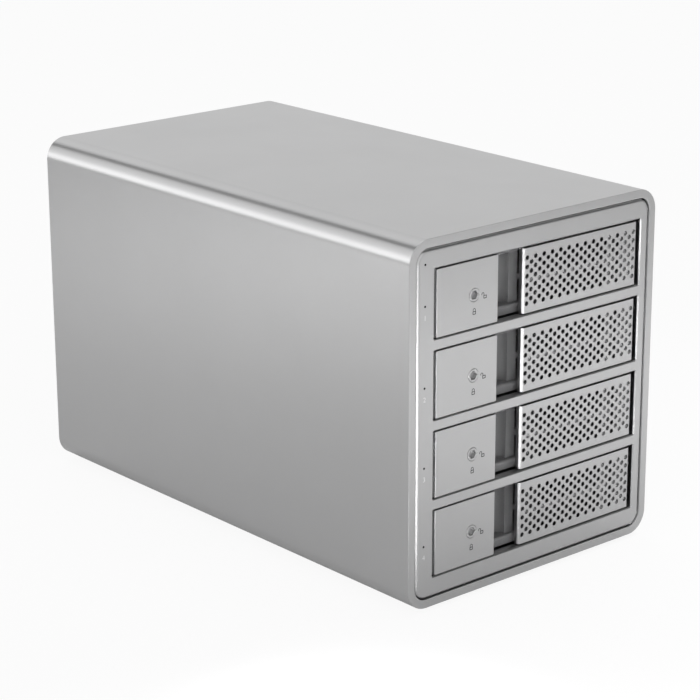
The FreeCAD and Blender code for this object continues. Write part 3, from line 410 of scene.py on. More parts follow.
def build_front_frame(work, sizes):
    """The plate with its rounded rim, the bay openings and lamp holes, and the posts and strikes behind it."""
    inset = sizes.wall + sizes.shadow_gap
    face = FRONT + PRINT
    back = FRONT + sizes.frame_thickness
    radius = sizes.frame_round
    bevel = sizes.opening_bevel

    def rim(more, y):
        total = inset + more
        return add_ring(work, rounded_outline(SLEEVE_LOW.x + total, SLEEVE_HIGH.x - total, SLEEVE_LOW.z + total,
                                              SLEEVE_HIGH.z - total, sizes.corner_radius - total), y)

    outer = [rim(0.0, back)]
    for i in range(9):
        turn = 0.5 * math.pi * i / 8
        outer.append(rim(radius * (1 - math.cos(turn)), face + radius * (1 - math.sin(turn))))
    outer.append(rim(radius + EVEN_RING, face))
    join_rings(work, *outer)
    fronts, backs = [], []
    for low_x, high_x, low_z, high_z in bay_openings():
        rings = []
        for grow, y in ((bevel, face), (0.0, face + bevel), (0.0, back)):
            rings.append(add_ring(work, rounded_outline(low_x - grow, high_x + grow, low_z - grow, high_z + grow,
                                                        0.00025 + grow, 3), y))
        join_rings(work, *rings)
        fronts.append(rings[0])
        backs.append(rings[2])
    for z in lamp_heights():
        x = SLEEVE_LOW.x + sizes.lamp_inset
        rings = [add_ring(work, circle_outline(x, z, r), y)
                 for r, y in ((sizes.lamp_radius * 1.2, face), (sizes.lamp_radius, face + 0.00012),
                              (sizes.lamp_radius, back))]
        join_rings(work, *rings)
        fronts.append(rings[0])
        backs.append(rings[2])
    fill_between(work, [outer[-1]] + fronts)
    fill_between(work, [outer[0]] + backs)
    add_posts_and_strikes(work, back)


def add_posts_and_strikes(work, back):
    """What stands behind the frame's plate: four posts for the cage's screws and a strike over each lock."""
    low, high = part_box("frame_screws")
    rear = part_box("front_frame")[1].y
    head = SMALL_SCREW * HEAD_SHARE
    for x in (low.x + head, high.x - head):
        for z in (low.z + head, high.z - head):
            add_tube(work, x, z, back, rear, 0.0024, SMALL_SCREW)
    for bay, (_, _, _, high_z) in zip(BAYS, bay_openings()):
        core_low, core_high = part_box(f"tray_{bay}_lock_core")
        middle = (core_low.x + core_high.x) / 2
        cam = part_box(f"tray_{bay}_lock_cam")[0].y
        add_block(work, (middle - 0.004, back, high_z), (middle + 0.004, cam - 0.0003, high_z + 0.0043))


# ---------------------------------------------------------------- geometry node trees
def perforated_plate_tree():
    """A flat plate with two interleaved grids of round holes, drawn in X and Y and stood up to face the front."""
    tree = bpy.data.node_groups.new("Perforated plate", "GeometryNodeTree")
    for name, kind, default in (("Width", "NodeSocketFloat", 0.06), ("Height", "NodeSocketFloat", 0.026),
                                ("Thickness", "NodeSocketFloat", 0.0012), ("Hole radius", "NodeSocketFloat", 0.0008),
                                ("Column pitch", "NodeSocketFloat", 0.0023), ("Row step", "NodeSocketFloat", 0.0018),
                                ("Columns", "NodeSocketInt", 27), ("Rows", "NodeSocketInt", 11),
                                ("Pattern centre", "NodeSocketVector", None), ("Place", "NodeSocketVector", None),
                                ("Material", "NodeSocketMaterial", None)):
        group_socket(tree, name, "INPUT", kind, default)
    group_socket(tree, "Geometry", "OUTPUT", "NodeSocketGeometry")
    inside = add_node(tree, "NodeGroupInput").outputs
    outside = add_node(tree, "NodeGroupOutput")
    links = tree.links

    outline = add_node(tree, "GeometryNodeCurvePrimitiveQuadrilateral", mode="RECTANGLE")
    links.new(inside["Width"], outline.inputs["Width"])
    links.new(inside["Height"], outline.inputs["Height"])
    circle = add_node(tree, "GeometryNodeCurvePrimitiveCircle", mode="RADIUS")
    circle.inputs["Resolution"].default_value = 20
    links.new(inside["Hole radius"], circle.inputs["Radius"])

    def half_of(total, more):
        """Half of a count in whole steps, rounded up with one more and down with none."""
        return maths(tree, "FLOOR", maths(tree, "DIVIDE", maths(tree, "ADD", total, more), 2))

    def extent(count, pitch):
        return maths(tree, "MULTIPLY", maths(tree, "SUBTRACT", count, 1), maths(tree, "MULTIPLY", pitch, 2))

    grids = add_node(tree, "GeometryNodeJoinGeometry")
    for more in (1, 0):
        columns = half_of(inside["Columns"], more)
        rows = half_of(inside["Rows"], more)
        grid = add_node(tree, "GeometryNodeMeshGrid")
        links.new(columns, grid.inputs["Vertices X"])
        links.new(rows, grid.inputs["Vertices Y"])
        links.new(extent(columns, inside["Column pitch"]), grid.inputs["Size X"])
        links.new(extent(rows, inside["Row step"]), grid.inputs["Size Y"])
        links.new(grid.outputs["Mesh"], grids.inputs["Geometry"])
    spots = add_node(tree, "GeometryNodeTransform")
    links.new(grids.outputs["Geometry"], spots.inputs["Geometry"])
    links.new(inside["Pattern centre"], spots.inputs["Translation"])
    holes = add_node(tree, "GeometryNodeInstanceOnPoints")
    links.new(spots.outputs["Geometry"], holes.inputs["Points"])
    links.new(circle.outputs["Curve"], holes.inputs["Instance"])
    real_holes = add_node(tree, "GeometryNodeRealizeInstances")
    links.new(holes.outputs["Instances"], real_holes.inputs["Geometry"])
    curves = add_node(tree, "GeometryNodeJoinGeometry")
    links.new(real_holes.outputs["Geometry"], curves.inputs["Geometry"])
    links.new(outline.outputs["Curve"], curves.inputs["Geometry"])
    sheet = add_node(tree, "GeometryNodeFillCurve")
    links.new(curves.outputs["Geometry"], sheet.inputs["Curve"])
    turned = add_node(tree, "GeometryNodeFlipFaces")
    links.new(sheet.outputs["Mesh"], turned.inputs["Mesh"])
    raised = add_node(tree, "GeometryNodeExtrudeMesh", mode="FACES")
    raised.inputs["Individual"].default_value = False
    links.new(sheet.outputs["Mesh"], raised.inputs["Mesh"])
    links.new(inside["Thickness"], raised.inputs["Offset Scale"])
    solid = add_node(tree, "GeometryNodeJoinGeometry")
    links.new(raised.outputs["Mesh"], solid.inputs["Geometry"])
    links.new(turned.outputs["Mesh"], solid.inputs["Geometry"])
    merged = add_node(tree, "GeometryNodeMergeByDistance")
    merged.inputs["Distance"].default_value = 1e-6
    links.new(solid.outputs["Geometry"], merged.inputs["Geometry"])
    upright = add_node(tree, "GeometryNodeTransform")
    upright.inputs["Rotation"].default_value = (0.5 * math.pi, 0.0, 0.0)
    links.new(merged.outputs["Geometry"], upright.inputs["Geometry"])
    links.new(inside["Place"], upright.inputs["Translation"])
    real = add_node(tree, "GeometryNodeRealizeInstances")
    links.new(upright.outputs["Geometry"], real.inputs["Geometry"])
    skin = add_node(tree, "GeometryNodeSetMaterial")
    links.new(real.outputs["Geometry"], skin.inputs["Geometry"])
    links.new(inside["Material"], skin.inputs["Material"])
    links.new(skin.outputs["Geometry"], outside.inputs["Geometry"])
    return tree


def screw_tree():
    """A pan-head screw with a cross recess on each point, its head along the given direction."""
    tree = bpy.data.node_groups.new("Pan-head screws", "GeometryNodeTree")
    for name, kind, default in (("Geometry", "NodeSocketGeometry", None), ("Shank radius", "NodeSocketFloat", 0.0012),
                                ("Shank length", "NodeSocketFloat", 0.006), ("Head radius", "NodeSocketFloat", 0.0023),
                                ("Head height", "NodeSocketFloat", 0.001), ("Direction", "NodeSocketVector", None),
                                ("Material", "NodeSocketMaterial", None)):
        group_socket(tree, name, "INPUT", kind, default)
    group_socket(tree, "Geometry", "OUTPUT", "NodeSocketGeometry")
    inside = add_node(tree, "NodeGroupInput").outputs
    outside = add_node(tree, "NodeGroupOutput")
    links = tree.links

    def vector(x, y, z):
        node = add_node(tree, "ShaderNodeCombineXYZ")
        for socket, value in zip(node.inputs, (x, y, z)):
            if isinstance(value, (int, float)):
                socket.default_value = value
            else:
                links.new(value, socket)
        return node.outputs[0]

    def cone(bottom, upper, depth, lift):
        node = add_node(tree, "GeometryNodeMeshCone", fill_type="NGON")
        node.inputs["Vertices"].default_value = 32
        links.new(bottom, node.inputs["Radius Bottom"])
        links.new(upper, node.inputs["Radius Top"])
        links.new(depth, node.inputs["Depth"])
        move = add_node(tree, "GeometryNodeTransform")
        links.new(node.outputs["Mesh"], move.inputs["Geometry"])
        links.new(vector(0.0, 0.0, lift), move.inputs["Translation"])
        return move.outputs["Geometry"]

    def bar(along_x, along_y):
        node = add_node(tree, "GeometryNodeMeshCube")
        links.new(vector(along_x, along_y, maths(tree, "MULTIPLY", inside["Head height"], 1.3)), node.inputs["Size"])
        move = add_node(tree, "GeometryNodeTransform")
        links.new(node.outputs["Mesh"], move.inputs["Geometry"])
        links.new(vector(0.0, 0.0, maths(tree, "MULTIPLY", inside["Head height"], 1.0)), move.inputs["Translation"])
        return move.outputs["Geometry"]

    low_height = maths(tree, "MULTIPLY", inside["Head height"], 0.45)
    high_height = maths(tree, "MULTIPLY", inside["Head height"], 0.55)
    crown = maths(tree, "MULTIPLY", inside["Head radius"], 0.72)
    brim = cone(inside["Head radius"], inside["Head radius"], low_height, 0.0)
    dome = cone(inside["Head radius"], crown, high_height, low_height)
    head = add_node(tree, "GeometryNodeMeshBoolean", operation="UNION")
    links.new(brim, head.inputs["Mesh 2"])
    links.new(dome, head.inputs["Mesh 2"])
    slot = maths(tree, "MULTIPLY", inside["Head radius"], 0.24)
    reach = maths(tree, "MULTIPLY", inside["Head radius"], 1.05)
    cut = add_node(tree, "GeometryNodeMeshBoolean", operation="DIFFERENCE")
    links.new(head.outputs["Mesh"], cut.inputs["Mesh 1"])
    links.new(bar(slot, reach), cut.inputs["Mesh 2"])
    links.new(bar(reach, slot), cut.inputs["Mesh 2"])
    shank = cone(inside["Shank radius"], inside["Shank radius"], inside["Shank length"],
                 maths(tree, "MULTIPLY", inside["Shank length"], -1.0))
    whole = add_node(tree, "GeometryNodeJoinGeometry")
    links.new(cut.outputs["Mesh"], whole.inputs["Geometry"])
    links.new(shank, whole.inputs["Geometry"])
    facing = add_node(tree, "FunctionNodeAlignRotationToVector", axis="Z")
    links.new(inside["Direction"], facing.inputs["Vector"])
    placed = add_node(tree, "GeometryNodeInstanceOnPoints")
    links.new(inside["Geometry"], placed.inputs["Points"])
    links.new(whole.outputs["Geometry"], placed.inputs["Instance"])
    links.new(facing.outputs["Rotation"], placed.inputs["Rotation"])
    real = add_node(tree, "GeometryNodeRealizeInstances")
    links.new(placed.outputs["Instances"], real.inputs["Geometry"])
    skin = add_node(tree, "GeometryNodeSetMaterial")
    links.new(real.outputs["Geometry"], skin.inputs["Geometry"])
    links.new(inside["Material"], skin.inputs["Material"])
    links.new(skin.outputs["Geometry"], outside.inputs["Geometry"])
    return tree


def run_tree(tree, values, seed_mesh=None):
    """Runs a geometry tree on a helper object with its inputs set, and returns the result as a plain mesh."""
    helper = bpy.data.objects.new("helper", seed_mesh or bpy.data.meshes.new("helper"))
    bpy.context.scene.collection.objects.link(helper)
    modifier = helper.modifiers.new("tree", "NODES")
    modifier.node_group = tree
    keys = {item.name: item.identifier for item in tree.interface.items_tree if item.in_out == "INPUT"}
    for name, value in values.items():
        modifier[keys[name]] = value
    bpy.context.view_layer.update()
    graph = bpy.context.evaluated_depsgraph_get()
    mesh = bpy.data.meshes.new_from_object(helper.evaluated_get(graph), preserve_all_data_layers=True,
                                           depsgraph=graph)
    helper.modifiers.remove(modifier)
    bpy.data.objects.remove(helper)
    return mesh


def joined_mesh(name, meshes):
    """Several meshes as one, with the first one's material."""
    work = bmesh.new()
    for mesh in meshes:
        work.from_mesh(mesh)
    mesh = bpy.data.meshes.new(name)
    work.to_mesh(mesh)
    work.free()
    mesh.polygons.foreach_set("material_index", [0] * len(mesh.polygons))
    return shade(mesh)


# ---------------------------------------------------------------- handles, locks and marks
def build_lip(work, low, high, thickness, radius):
    """The handle's rolled free edge, up to where the flat perforated plate begins."""
    arc, slope = 0.4, 0.6  # the corner is flatter than a quarter circle: part arc and part straight chamfer
    cut = 0.0002
    outline = []
    for i in range(9):
        turn = 0.5 * math.pi * i / 8
        along = i / 8
        outline.append((low.x + radius * (arc * (1 - math.cos(turn)) + slope * along),
                        low.y + radius * (arc * (1 - math.sin(turn)) + slope * (1 - along))))
    outline += [(low.x + radius, low.y + thickness), (low.x + thickness, low.y + thickness),
                (low.x + thickness, high.y - cut), (low.x + thickness - cut, high.y),
                (low.x + cut, high.y), (low.x, high.y - cut)]
    lower = [work.verts.new((x, y, low.z)) for x, y in outline]
    upper = [work.verts.new((x, y, high.z)) for x, y in outline]
    join_rings(work, lower, upper)
    work.faces.new(lower)
    work.faces.new(upper)


def handle_mesh(bay, sizes, material, tree):
    low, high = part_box(f"tray_{bay}_handle_grille")
    flat_left = low.x + sizes.lip_round
    width = high.x - flat_left
    pattern = low.x + sizes.margin_left + (sizes.columns - 1) * sizes.column_pitch / 2
    middle = (flat_left + high.x) / 2
    plate = run_tree(tree, {
        "Width": width, "Height": high.z - low.z, "Thickness": sizes.plate_thickness,
        "Hole radius": sizes.hole_radius, "Column pitch": sizes.column_pitch, "Row step": sizes.row_step,
        "Columns": sizes.columns, "Rows": sizes.rows, "Pattern centre": (pattern - middle, 0.0, 0.0),
        "Place": (middle, low.y + sizes.plate_thickness, (low.z + high.z) / 2), "Material": material})
    lip = mesh_from("lip", lambda work: build_lip(work, low, high, sizes.plate_thickness, sizes.lip_round))
    return joined_mesh(f"handle_plate_{bay}", [plate, lip])


def build_webs(work, low, high, arm_low, arm_high, sizes):
    """The ribs behind the perforated plate: one along the middle, an upright bar, and a web at the hinge."""
    arm_wall, arm_end, web_gap = 0.0019, 0.0011, 0.0004  # carrier's long walls, its end wall, web to the hinged end
    near = low.y + sizes.plate_thickness
    far = near + sizes.web_depth
    middle = (low.z + high.z) / 2 - sizes.rib_drop
    bottom, top = arm_low.z + arm_wall, arm_high.z - arm_wall
    bar = high.x - sizes.bar_inset
    web = high.x - web_gap
    add_block(work, (arm_low.x + arm_end, near, middle - sizes.rib_height / 2),
              (bar - sizes.bar_width / 2, far, middle + sizes.rib_height / 2))
    add_block(work, (bar - sizes.bar_width / 2, near, bottom), (bar + sizes.bar_width / 2, far, top))
    add_block(work, (bar + sizes.bar_width / 2, near, middle - sizes.rib_height / 2),
              (web - sizes.hinge_web, far, middle + sizes.rib_height / 2))
    add_block(work, (web - sizes.hinge_web, near, bottom), (web, far, top))


def build_lock_plate(work, low, high, centre, radius, cut):
    """The flush plate left of the handle, with broken edges and the barrel's hole."""
    outer, inner = [], []
    for grow, y in ((cut, low.y), (0.0, low.y + cut), (0.0, high.y)):
        outer.append(add_ring(work, rounded_outline(low.x + grow, high.x - grow, low.z + grow, high.z - grow,
                                                    0.0003, 3), y))
        inner.append(add_ring(work, circle_outline(centre.x, centre.z, radius + grow, 40), y))
    for rings in (outer, inner):
        join_rings(work, *rings)
    fill_between(work, [outer[0], inner[0]])
    fill_between(work, [outer[2], inner[2]])


def build_barrel(work, low, high, sizes):
    """The lock's barrel with a broken rim, a six-sided socket and a pointer dot."""
    x = (low.x + high.x) / 2
    z = (low.z + high.z) / 2
    radius = sizes.barrel_radius
    cut, socket_cut = 0.00008, 0.0001
    dot_inset, dot_radius, dot_depth = 0.00045, 0.00028, 0.0004
    tail = 0.0015  # half the width of the square tail that carries the cam
    rear = low.y + 0.0082
    rings = [add_ring(work, circle_outline(x, z, r, 48), y)
             for r, y in ((radius - cut, low.y), (radius, low.y + cut), (radius, rear))]
    join_rings(work, *rings)
    work.faces.new(rings[2])
    corner = sizes.socket_flats / math.sqrt(3)
    socket = [add_ring(work, circle_outline(x, z, r, 6), y)
              for r, y in ((corner + socket_cut, low.y), (corner, low.y + socket_cut),
                           (corner, low.y + sizes.socket_depth))]
    join_rings(work, *socket)
    work.faces.new(socket[2])
    dot_x = x + radius - dot_inset
    dot = [add_ring(work, circle_outline(dot_x, z, dot_radius, 16), y) for y in (low.y, low.y + dot_depth)]
    join_rings(work, *dot)
    work.faces.new(dot[1])
    fill_between(work, [rings[0], socket[0], dot[0]])
    add_block(work, (x - tail, rear, z - tail), (x + tail, high.y, z + tail))


def add_flat(work, outline, y, thickness):
    """A flat printed shape, facing the front."""
    near = add_ring(work, outline, y)
    far = add_ring(work, outline, y + thickness)
    join_rings(work, near, far)
    fill_between(work, [near])
    fill_between(work, [far])


def add_padlock(work, x, z, width, y, is_open):
    """A padlock sign: an outlined body and a shackle, which stands to one side when open."""
    height = width * 0.8
    line = width * 0.18
    rims = []
    for grow in (0.0, line):
        outline = rounded_outline(x - width / 2 + grow, x + width / 2 - grow, z - height + grow, z - grow,
                                  width * 0.12 - grow * 0.5, 3)
        rims.append([add_ring(work, outline, depth) for depth in (y, y + PRINT)])
        join_rings(work, *rims[-1])
    for near in (0, 1):
        fill_between(work, [rims[0][near], rims[1][near]])
    radius = width * 0.34
    bar = width * 0.16
    shift = -width * 0.68 if is_open else 0.0
    rise = width * 0.28

    def bow(reach):
        turns = [math.pi * i / 12 for i in range(13)]
        return [(x + shift + reach * math.cos(turn), z + rise + reach * math.sin(turn)) for turn in turns]

    right_foot = [(x + shift + radius - bar / 2, z), (x + shift + radius + bar / 2, z)]
    free_end = z + rise * 0.4 if is_open else z
    left_foot = [(x + shift - radius - bar / 2, free_end), (x + shift - radius + bar / 2, free_end)]
    shackle = right_foot[1:] + bow(radius + bar / 2) + left_foot + bow(radius - bar / 2)[::-1] + right_foot[:1]
    add_flat(work, shackle, y, PRINT)


def digit_mesh(text, height, x, z, y):
    """A plain digit as a thin print, facing the front, centred at a point."""
    curve = bpy.data.curves.new("digit", "FONT")
    curve.body = text
    curve.size = height
    curve.extrude = PRINT / 2
    curve.align_x = "CENTER"
    curve.align_y = "CENTER"
    holder = bpy.data.objects.new("digit", curve)
    bpy.context.scene.collection.objects.link(holder)
    bpy.context.view_layer.update()
    mesh = bpy.data.meshes.new_from_object(holder.evaluated_get(bpy.context.evaluated_depsgraph_get()))
    bpy.data.objects.remove(holder)
    mesh.transform(Matrix.Translation((x, y, z)) @ Matrix.Rotation(0.5 * math.pi, 4, "X"))
    return mesh


# ---------------------------------------------------------------- operators
def finish(name):
    return bpy.data.materials[name]


class ENCLOSURE_OT_finishes(bpy.types.Operator):
    """Makes the grained finishes and gives each kept node its own"""
    bl_idname = "enclosure.finishes"
    bl_label = "Finishes"

    def execute(self, context):
        colours = context.scene.enclosure_colours
        grain_group()
        finish_material("Blasted aluminium", colours.aluminium, 1.0, 0.28, 7000.0, 0.000006, shade_low=0.98,
                        rough_spread=0.02)
        finish_material("Machined aluminium", colours.aluminium, 1.0, 0.28, 4000.0, 0.000006, shade_low=0.98)
        finish_material("Grey moulding", colours.moulding, 0.0, 0.55, 5200.0, 0.00002, shade_low=0.93)
        finish_material("Black connector", colours.connector, 0.0, 0.42, 4200.0, 0.00001, shade_low=0.9)
        finish_material("Zinc plate", colours.zinc, 1.0, 0.32, 2500.0, 0.000008, shade_low=0.86, rough_spread=0.14,
                        cloud=90.0)
        finish_material("Solder mask", colours.board, 0.0, 0.35, 3000.0, 0.000012, shade_low=0.86, Coat_Weight=0.3)
        finish_material("Powder coat", colours.panel, 0.0, 0.5, 2600.0, 0.00004, shade_low=0.9)
        finish_material("Foot rubber", colours.rubber, 0.0, 0.7, 2800.0, 0.00003, shade_low=0.9)
        finish_material("Dark print", colours.ink, 0.0, 0.5, 5000.0, 0.000003, shade_low=0.9)
        finish_material("Pale print", colours.pale_ink, 0.0, 0.5, 5000.0, 0.000003, shade_low=0.95)
        finish_material("Clear pipe", (0.03, 0.03, 0.032, 1.0), 0.0, 0.12, 800.0, 0.000002, shade_low=0.9)
        by_slot = {"silver_anodised": "Blasted aluminium", "plain_aluminium": "Machined aluminium",
                   "black_moulding": "Grey moulding", "connector_black": "Black connector",
                   "clear_pipe": "Clear pipe", "circuit_board": "Solder mask", "zinc_steel": "Zinc plate",
                   "black_painted_steel": "Powder coat", "black_screw": "Powder coat", "dark_rubber": "Foot rubber"}
        slots = {part["node"]: part["material_slot"] for part in frame["record"]["subparts"]}
        for name, node in frame["nodes"].items():
            for holder in node.material_slots:
                holder.material = finish(by_slot[slots[name]])
        return {"FINISHED"}


class ENCLOSURE_OT_shell(bpy.types.Operator):
    """Builds the sleeve and the front frame with their broken edges"""
    bl_idname = "enclosure.shell"
    bl_label = "Sleeve and front frame"

    def execute(self, context):
        sizes = context.scene.enclosure_shell
        sleeve = mesh_from("sleeve", lambda work: build_sleeve(work, sizes))
        finished_piece("sleeve", sleeve, "enclosure", finish("Blasted aluminium"),
                       ["outer_sleeve"])
        plate = mesh_from("front_plate", lambda work: build_front_frame(work, sizes))
        finished_piece("front_plate", plate, "enclosure", finish("Blasted aluminium"),
                       ["front_frame"])
        return {"FINISHED"}


class ENCLOSURE_OT_handles(bpy.types.Operator):
    """Builds the four handle plates with their round perforation"""
    bl_idname = "enclosure.handles"
    bl_label = "Perforated handles"

    def execute(self, context):
        tree = perforated_plate_tree()
        for bay in BAYS:
            mesh = handle_mesh(bay, context.scene.enclosure_handle, finish("Blasted aluminium"), tree)
            finished_piece(f"handle_plate_{bay}", mesh, f"handle_{bay}",
                           finish("Blasted aluminium"), [f"tray_{bay}_handle_grille"])
            low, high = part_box(f"tray_{bay}_handle_grille")
            arm_low, arm_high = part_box(f"tray_{bay}_handle_arm")
            webs = mesh_from("webs", lambda work: build_webs(work, low, high, arm_low, arm_high,
                                                             context.scene.enclosure_handle))
            finished_piece(f"handle_webs_{bay}", webs, f"handle_{bay}",
                           finish("Blasted aluminium"))
        return {"FINISHED"}


class ENCLOSURE_OT_locks(bpy.types.Operator):
    """Builds the flush plates, the lock barrels and the printed signs"""
    bl_idname = "enclosure.locks"
    bl_label = "Locks"

    def execute(self, context):
        sizes = context.scene.enclosure_lock
        clearance = 0.00012  # barrel to the plate's hole
        skin_cut, shade_backing_cut = 0.00008, 0.00004
        sign_lift, open_drop = PRINT * 1.5, 0.001
        for bay in BAYS:
            low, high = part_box(f"tray_{bay}_lock_plate")
            core_low, core_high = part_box(f"tray_{bay}_lock_core")
            centre = (core_low + core_high) / 2
            low.y += PRINT * 2
            seam = low.y + sizes.skin
            hole = sizes.barrel_radius + clearance
            plate = mesh_from("plate", lambda work: build_lock_plate(work, low, Vector((high.x, seam, high.z)),
                                                                     centre, hole, skin_cut))
            finished_piece(f"tray_front_{bay}", plate, f"tray_{bay}",
                           finish("Blasted aluminium"), [f"tray_{bay}_lock_plate"])
            # grey moulding under the thin metal skin, so the plate's edges read dark: painted shade in the gap round
            # the plate
            shade_backing = mesh_from("shade_backing", lambda work: build_lock_plate(work, Vector((low.x, seam, low.z)), high,
                                                                         centre, hole, shade_backing_cut))
            finished_piece(f"tray_front_shade_backing_{bay}", shade_backing, f"tray_{bay}",
                           finish("Grey moulding"))
            barrel = mesh_from("barrel", lambda work: build_barrel(work, core_low, core_high, sizes))
            finished_piece(f"lock_barrel_{bay}", barrel, f"lock_{bay}",
                           finish("Machined aluminium"), [f"tray_{bay}_lock_core"])

            def signs(work):
                depth = low.y - sign_lift
                add_padlock(work, centre.x, centre.z - sizes.closed_drop, sizes.sign_width, depth, False)
                add_padlock(work, centre.x + sizes.open_shift, centre.z - open_drop, sizes.sign_width, depth, True)

            finished_piece(f"lock_signs_{bay}", mesh_from("signs", signs), f"tray_{bay}",
                           finish("Dark print"))
        return {"FINISHED"}


class ENCLOSURE_OT_screws(bpy.types.Operator):
    """Builds the panel, fan and socket board screws with their cross recess"""
    bl_idname = "enclosure.screws"
    bl_label = "Screws"

    def execute(self, context):
        tree = screw_tree()
        rows = (("rear_panel_screws", SMALL_SCREW, "Powder coat", "black_screw", 0.006),
                ("fan_screws", FAN_SCREW, "Powder coat", "black_screw", 0.008),
                ("socket_board_screws", SMALL_SCREW, "Zinc plate", "zinc_steel", 0.006))
        for node, radius, look, slot, long in rows:
            seats = bpy.data.meshes.new("seats")
            seats.from_pydata(screw_seats(node), [], [])
            values = {"Shank radius": radius, "Shank length": long, "Head radius": radius * HEAD_SHARE,
                      "Head height": HEAD_HEIGHT, "Direction": (0.0, 1.0, 0.0), "Material": finish(look)}
            mesh = run_tree(tree, values, seats)
            piece = finished_piece(node.replace("_screws", "_pan_heads"), mesh, "enclosure", finish(look),
                                   [node])
            piece.data.set_sharp_from_angle(angle=SHARP)
        return {"FINISHED"}


def screw_seats(node):
    """The middle of each screw head's underside, from the separate heads of the packed node."""
    mesh = frame["nodes"][node].data
    work = bmesh.new()
    work.from_mesh(mesh)
    bmesh.ops.remove_doubles(work, verts=work.verts, dist=1e-6)
    seen, seats = set(), []
    for start in work.verts:
        if start in seen:
            continue
        island, waiting = [], [start]
        seen.add(start)
        while waiting:
            vert = waiting.pop()
            island.append(vert.co)
            for edge in vert.link_edges:
                other = edge.other_vert(vert)
                if other not in seen:
                    seen.add(other)
                    waiting.append(other)
        high = max(co.y for co in island)
        seats.append(((min(co.x for co in island) + max(co.x for co in island)) / 2, high - HEAD_HEIGHT,
                      (min(co.z for co in island) + max(co.z for co in island)) / 2))
    work.free()
    return seats


class ENCLOSURE_OT_marks(bpy.types.Operator):
    """Prints a plain number beside each bay's lamp"""
    bl_idname = "enclosure.marks"
    bl_label = "Bay numbers"

    def execute(self, context):
        x = SLEEVE_LOW.x + context.scene.enclosure_shell.lamp_inset
        height, drop = 0.0028, 0.0046  # a digit's height, and its middle below the lamp's
        for bay, z in zip(BAYS, lamp_heights()[1:]):
            mesh = digit_mesh(str(bay), height, x, z - drop, FRONT + PRINT / 2)
            finished_piece(f"bay_number_{bay}", mesh, "enclosure", finish("Pale print"))
        return {"FINISHED"}


class ENCLOSURE_OT_stage(bpy.types.Operator):
    """Builds the floor, the lamps, the world and the camera"""
    bl_idname = "enclosure.stage"
    bl_label = "Studio"

    def execute(self, context):
        studio = context.scene.enclosure_studio
        build_floor(studio)
        build_world(studio)
        add_lamp("Top lamp", (0.25, -0.1, 1.1), (0.0, 0.0, 0.08), (0.7, 0.7), studio.top_power)
        for name, place, width, power, spread in (
                ("Floor lamp", (-0.26, -0.36, 0.8), 0.1, studio.pool_power, 36.0),
                ("Near lamp", (-0.15, -0.19, 0.8), 0.04, studio.near_power, 11.0),
                ("Side lamp", (-0.56, 0.31, 0.9), 0.2, studio.side_power, 50.0),
                ("Front lamp", (0.22, -0.33, 0.9), 0.1, studio.front_power, 50.0)):
            lamp = add_lamp(name, place, (place[0], place[1], 0.0), (width, width), power)
            lamp.data.spread = math.radians(spread)
        build_camera(studio)
        context.scene.view_settings.view_transform = "Standard"
        return {"FINISHED"}


def build_floor(studio):
    """A pale floor. The camera sees it close to white, with the object's shadow left in it."""
    whiteness = 0.92  # share of plain white in what the camera sees
    work = bmesh.new()
    bmesh.ops.create_grid(work, x_segments=1, y_segments=1, size=6.0)
    mesh = bpy.data.meshes.new("floor")
    work.to_mesh(mesh)
    work.free()
    floor = bpy.data.objects.new("floor", mesh)
    bpy.context.scene.collection.objects.link(floor)
    material = bpy.data.materials.new("White floor")
    material.use_nodes = True
    tree = material.node_tree
    links = tree.links
    shader = tree.nodes["Principled BSDF"]
    set_inputs(shader, Roughness=0.9, Specular_IOR_Level=0.0)
    shader.inputs["Base Color"].default_value = (0.75, 0.75, 0.75, 1.0)
    white = add_node(tree, "ShaderNodeEmission")
    set_inputs(white, Strength=1.0)
    path = add_node(tree, "ShaderNodeLightPath")
    seen = maths(tree, "MAXIMUM", path.outputs["Is Camera Ray"], path.outputs["Is Transmission Ray"])
    mirrored = maths(tree, "MULTIPLY", path.outputs["Is Glossy Ray"], studio.mirrored_share)
    share = maths(tree, "MAXIMUM", maths(tree, "MULTIPLY", seen, whiteness), mirrored)
    mix = add_node(tree, "ShaderNodeMixShader")
    links.new(share, mix.inputs[0])
    links.new(shader.outputs[0], mix.inputs[1])
    links.new(white.outputs[0], mix.inputs[2])
    links.new(mix.outputs[0], tree.nodes["Material Output"].inputs["Surface"])
    mesh.materials.append(material)


def ramp(tree, value, stops):
    """A smooth curve of levels through stops of (value, level), for values from -1 to 1."""
    node = add_node(tree, "ShaderNodeValToRGB")
    node.color_ramp.interpolation = "LINEAR"
    elements = node.color_ramp.elements
    highest = max(level for _, level in stops)
    while len(elements) > 1:
        elements.remove(elements[-1])
    for i, (place, level) in enumerate(stops):
        element = elements[0] if i == 0 else elements.new((place + 1) / 2)
        element.position = (place + 1) / 2
        element.color = (level / highest,) * 3 + (1.0,)
    tree.links.new(maths(tree, "MULTIPLY", maths(tree, "ADD", value, 1.0), 0.5), node.inputs["Fac"])
    return maths(tree, "MULTIPLY", node.outputs["Color"], highest)


def soft_mask(tree, direction, centre, outer, inner):
    """1 within an angle of a direction, and 0 beyond a wider one."""
    dot = add_node(tree, "ShaderNodeVectorMath", operation="DOT_PRODUCT")
    tree.links.new(direction, dot.inputs[0])
    dot.inputs[1].default_value = Vector(centre).normalized()
    mask = add_node(tree, "ShaderNodeMapRange", interpolation_type="SMOOTHSTEP")
    set_inputs(mask, From_Min=math.cos(outer), From_Max=math.cos(inner))
    tree.links.new(dot.outputs["Value"], mask.inputs["Value"])
    return mask.outputs["Result"]


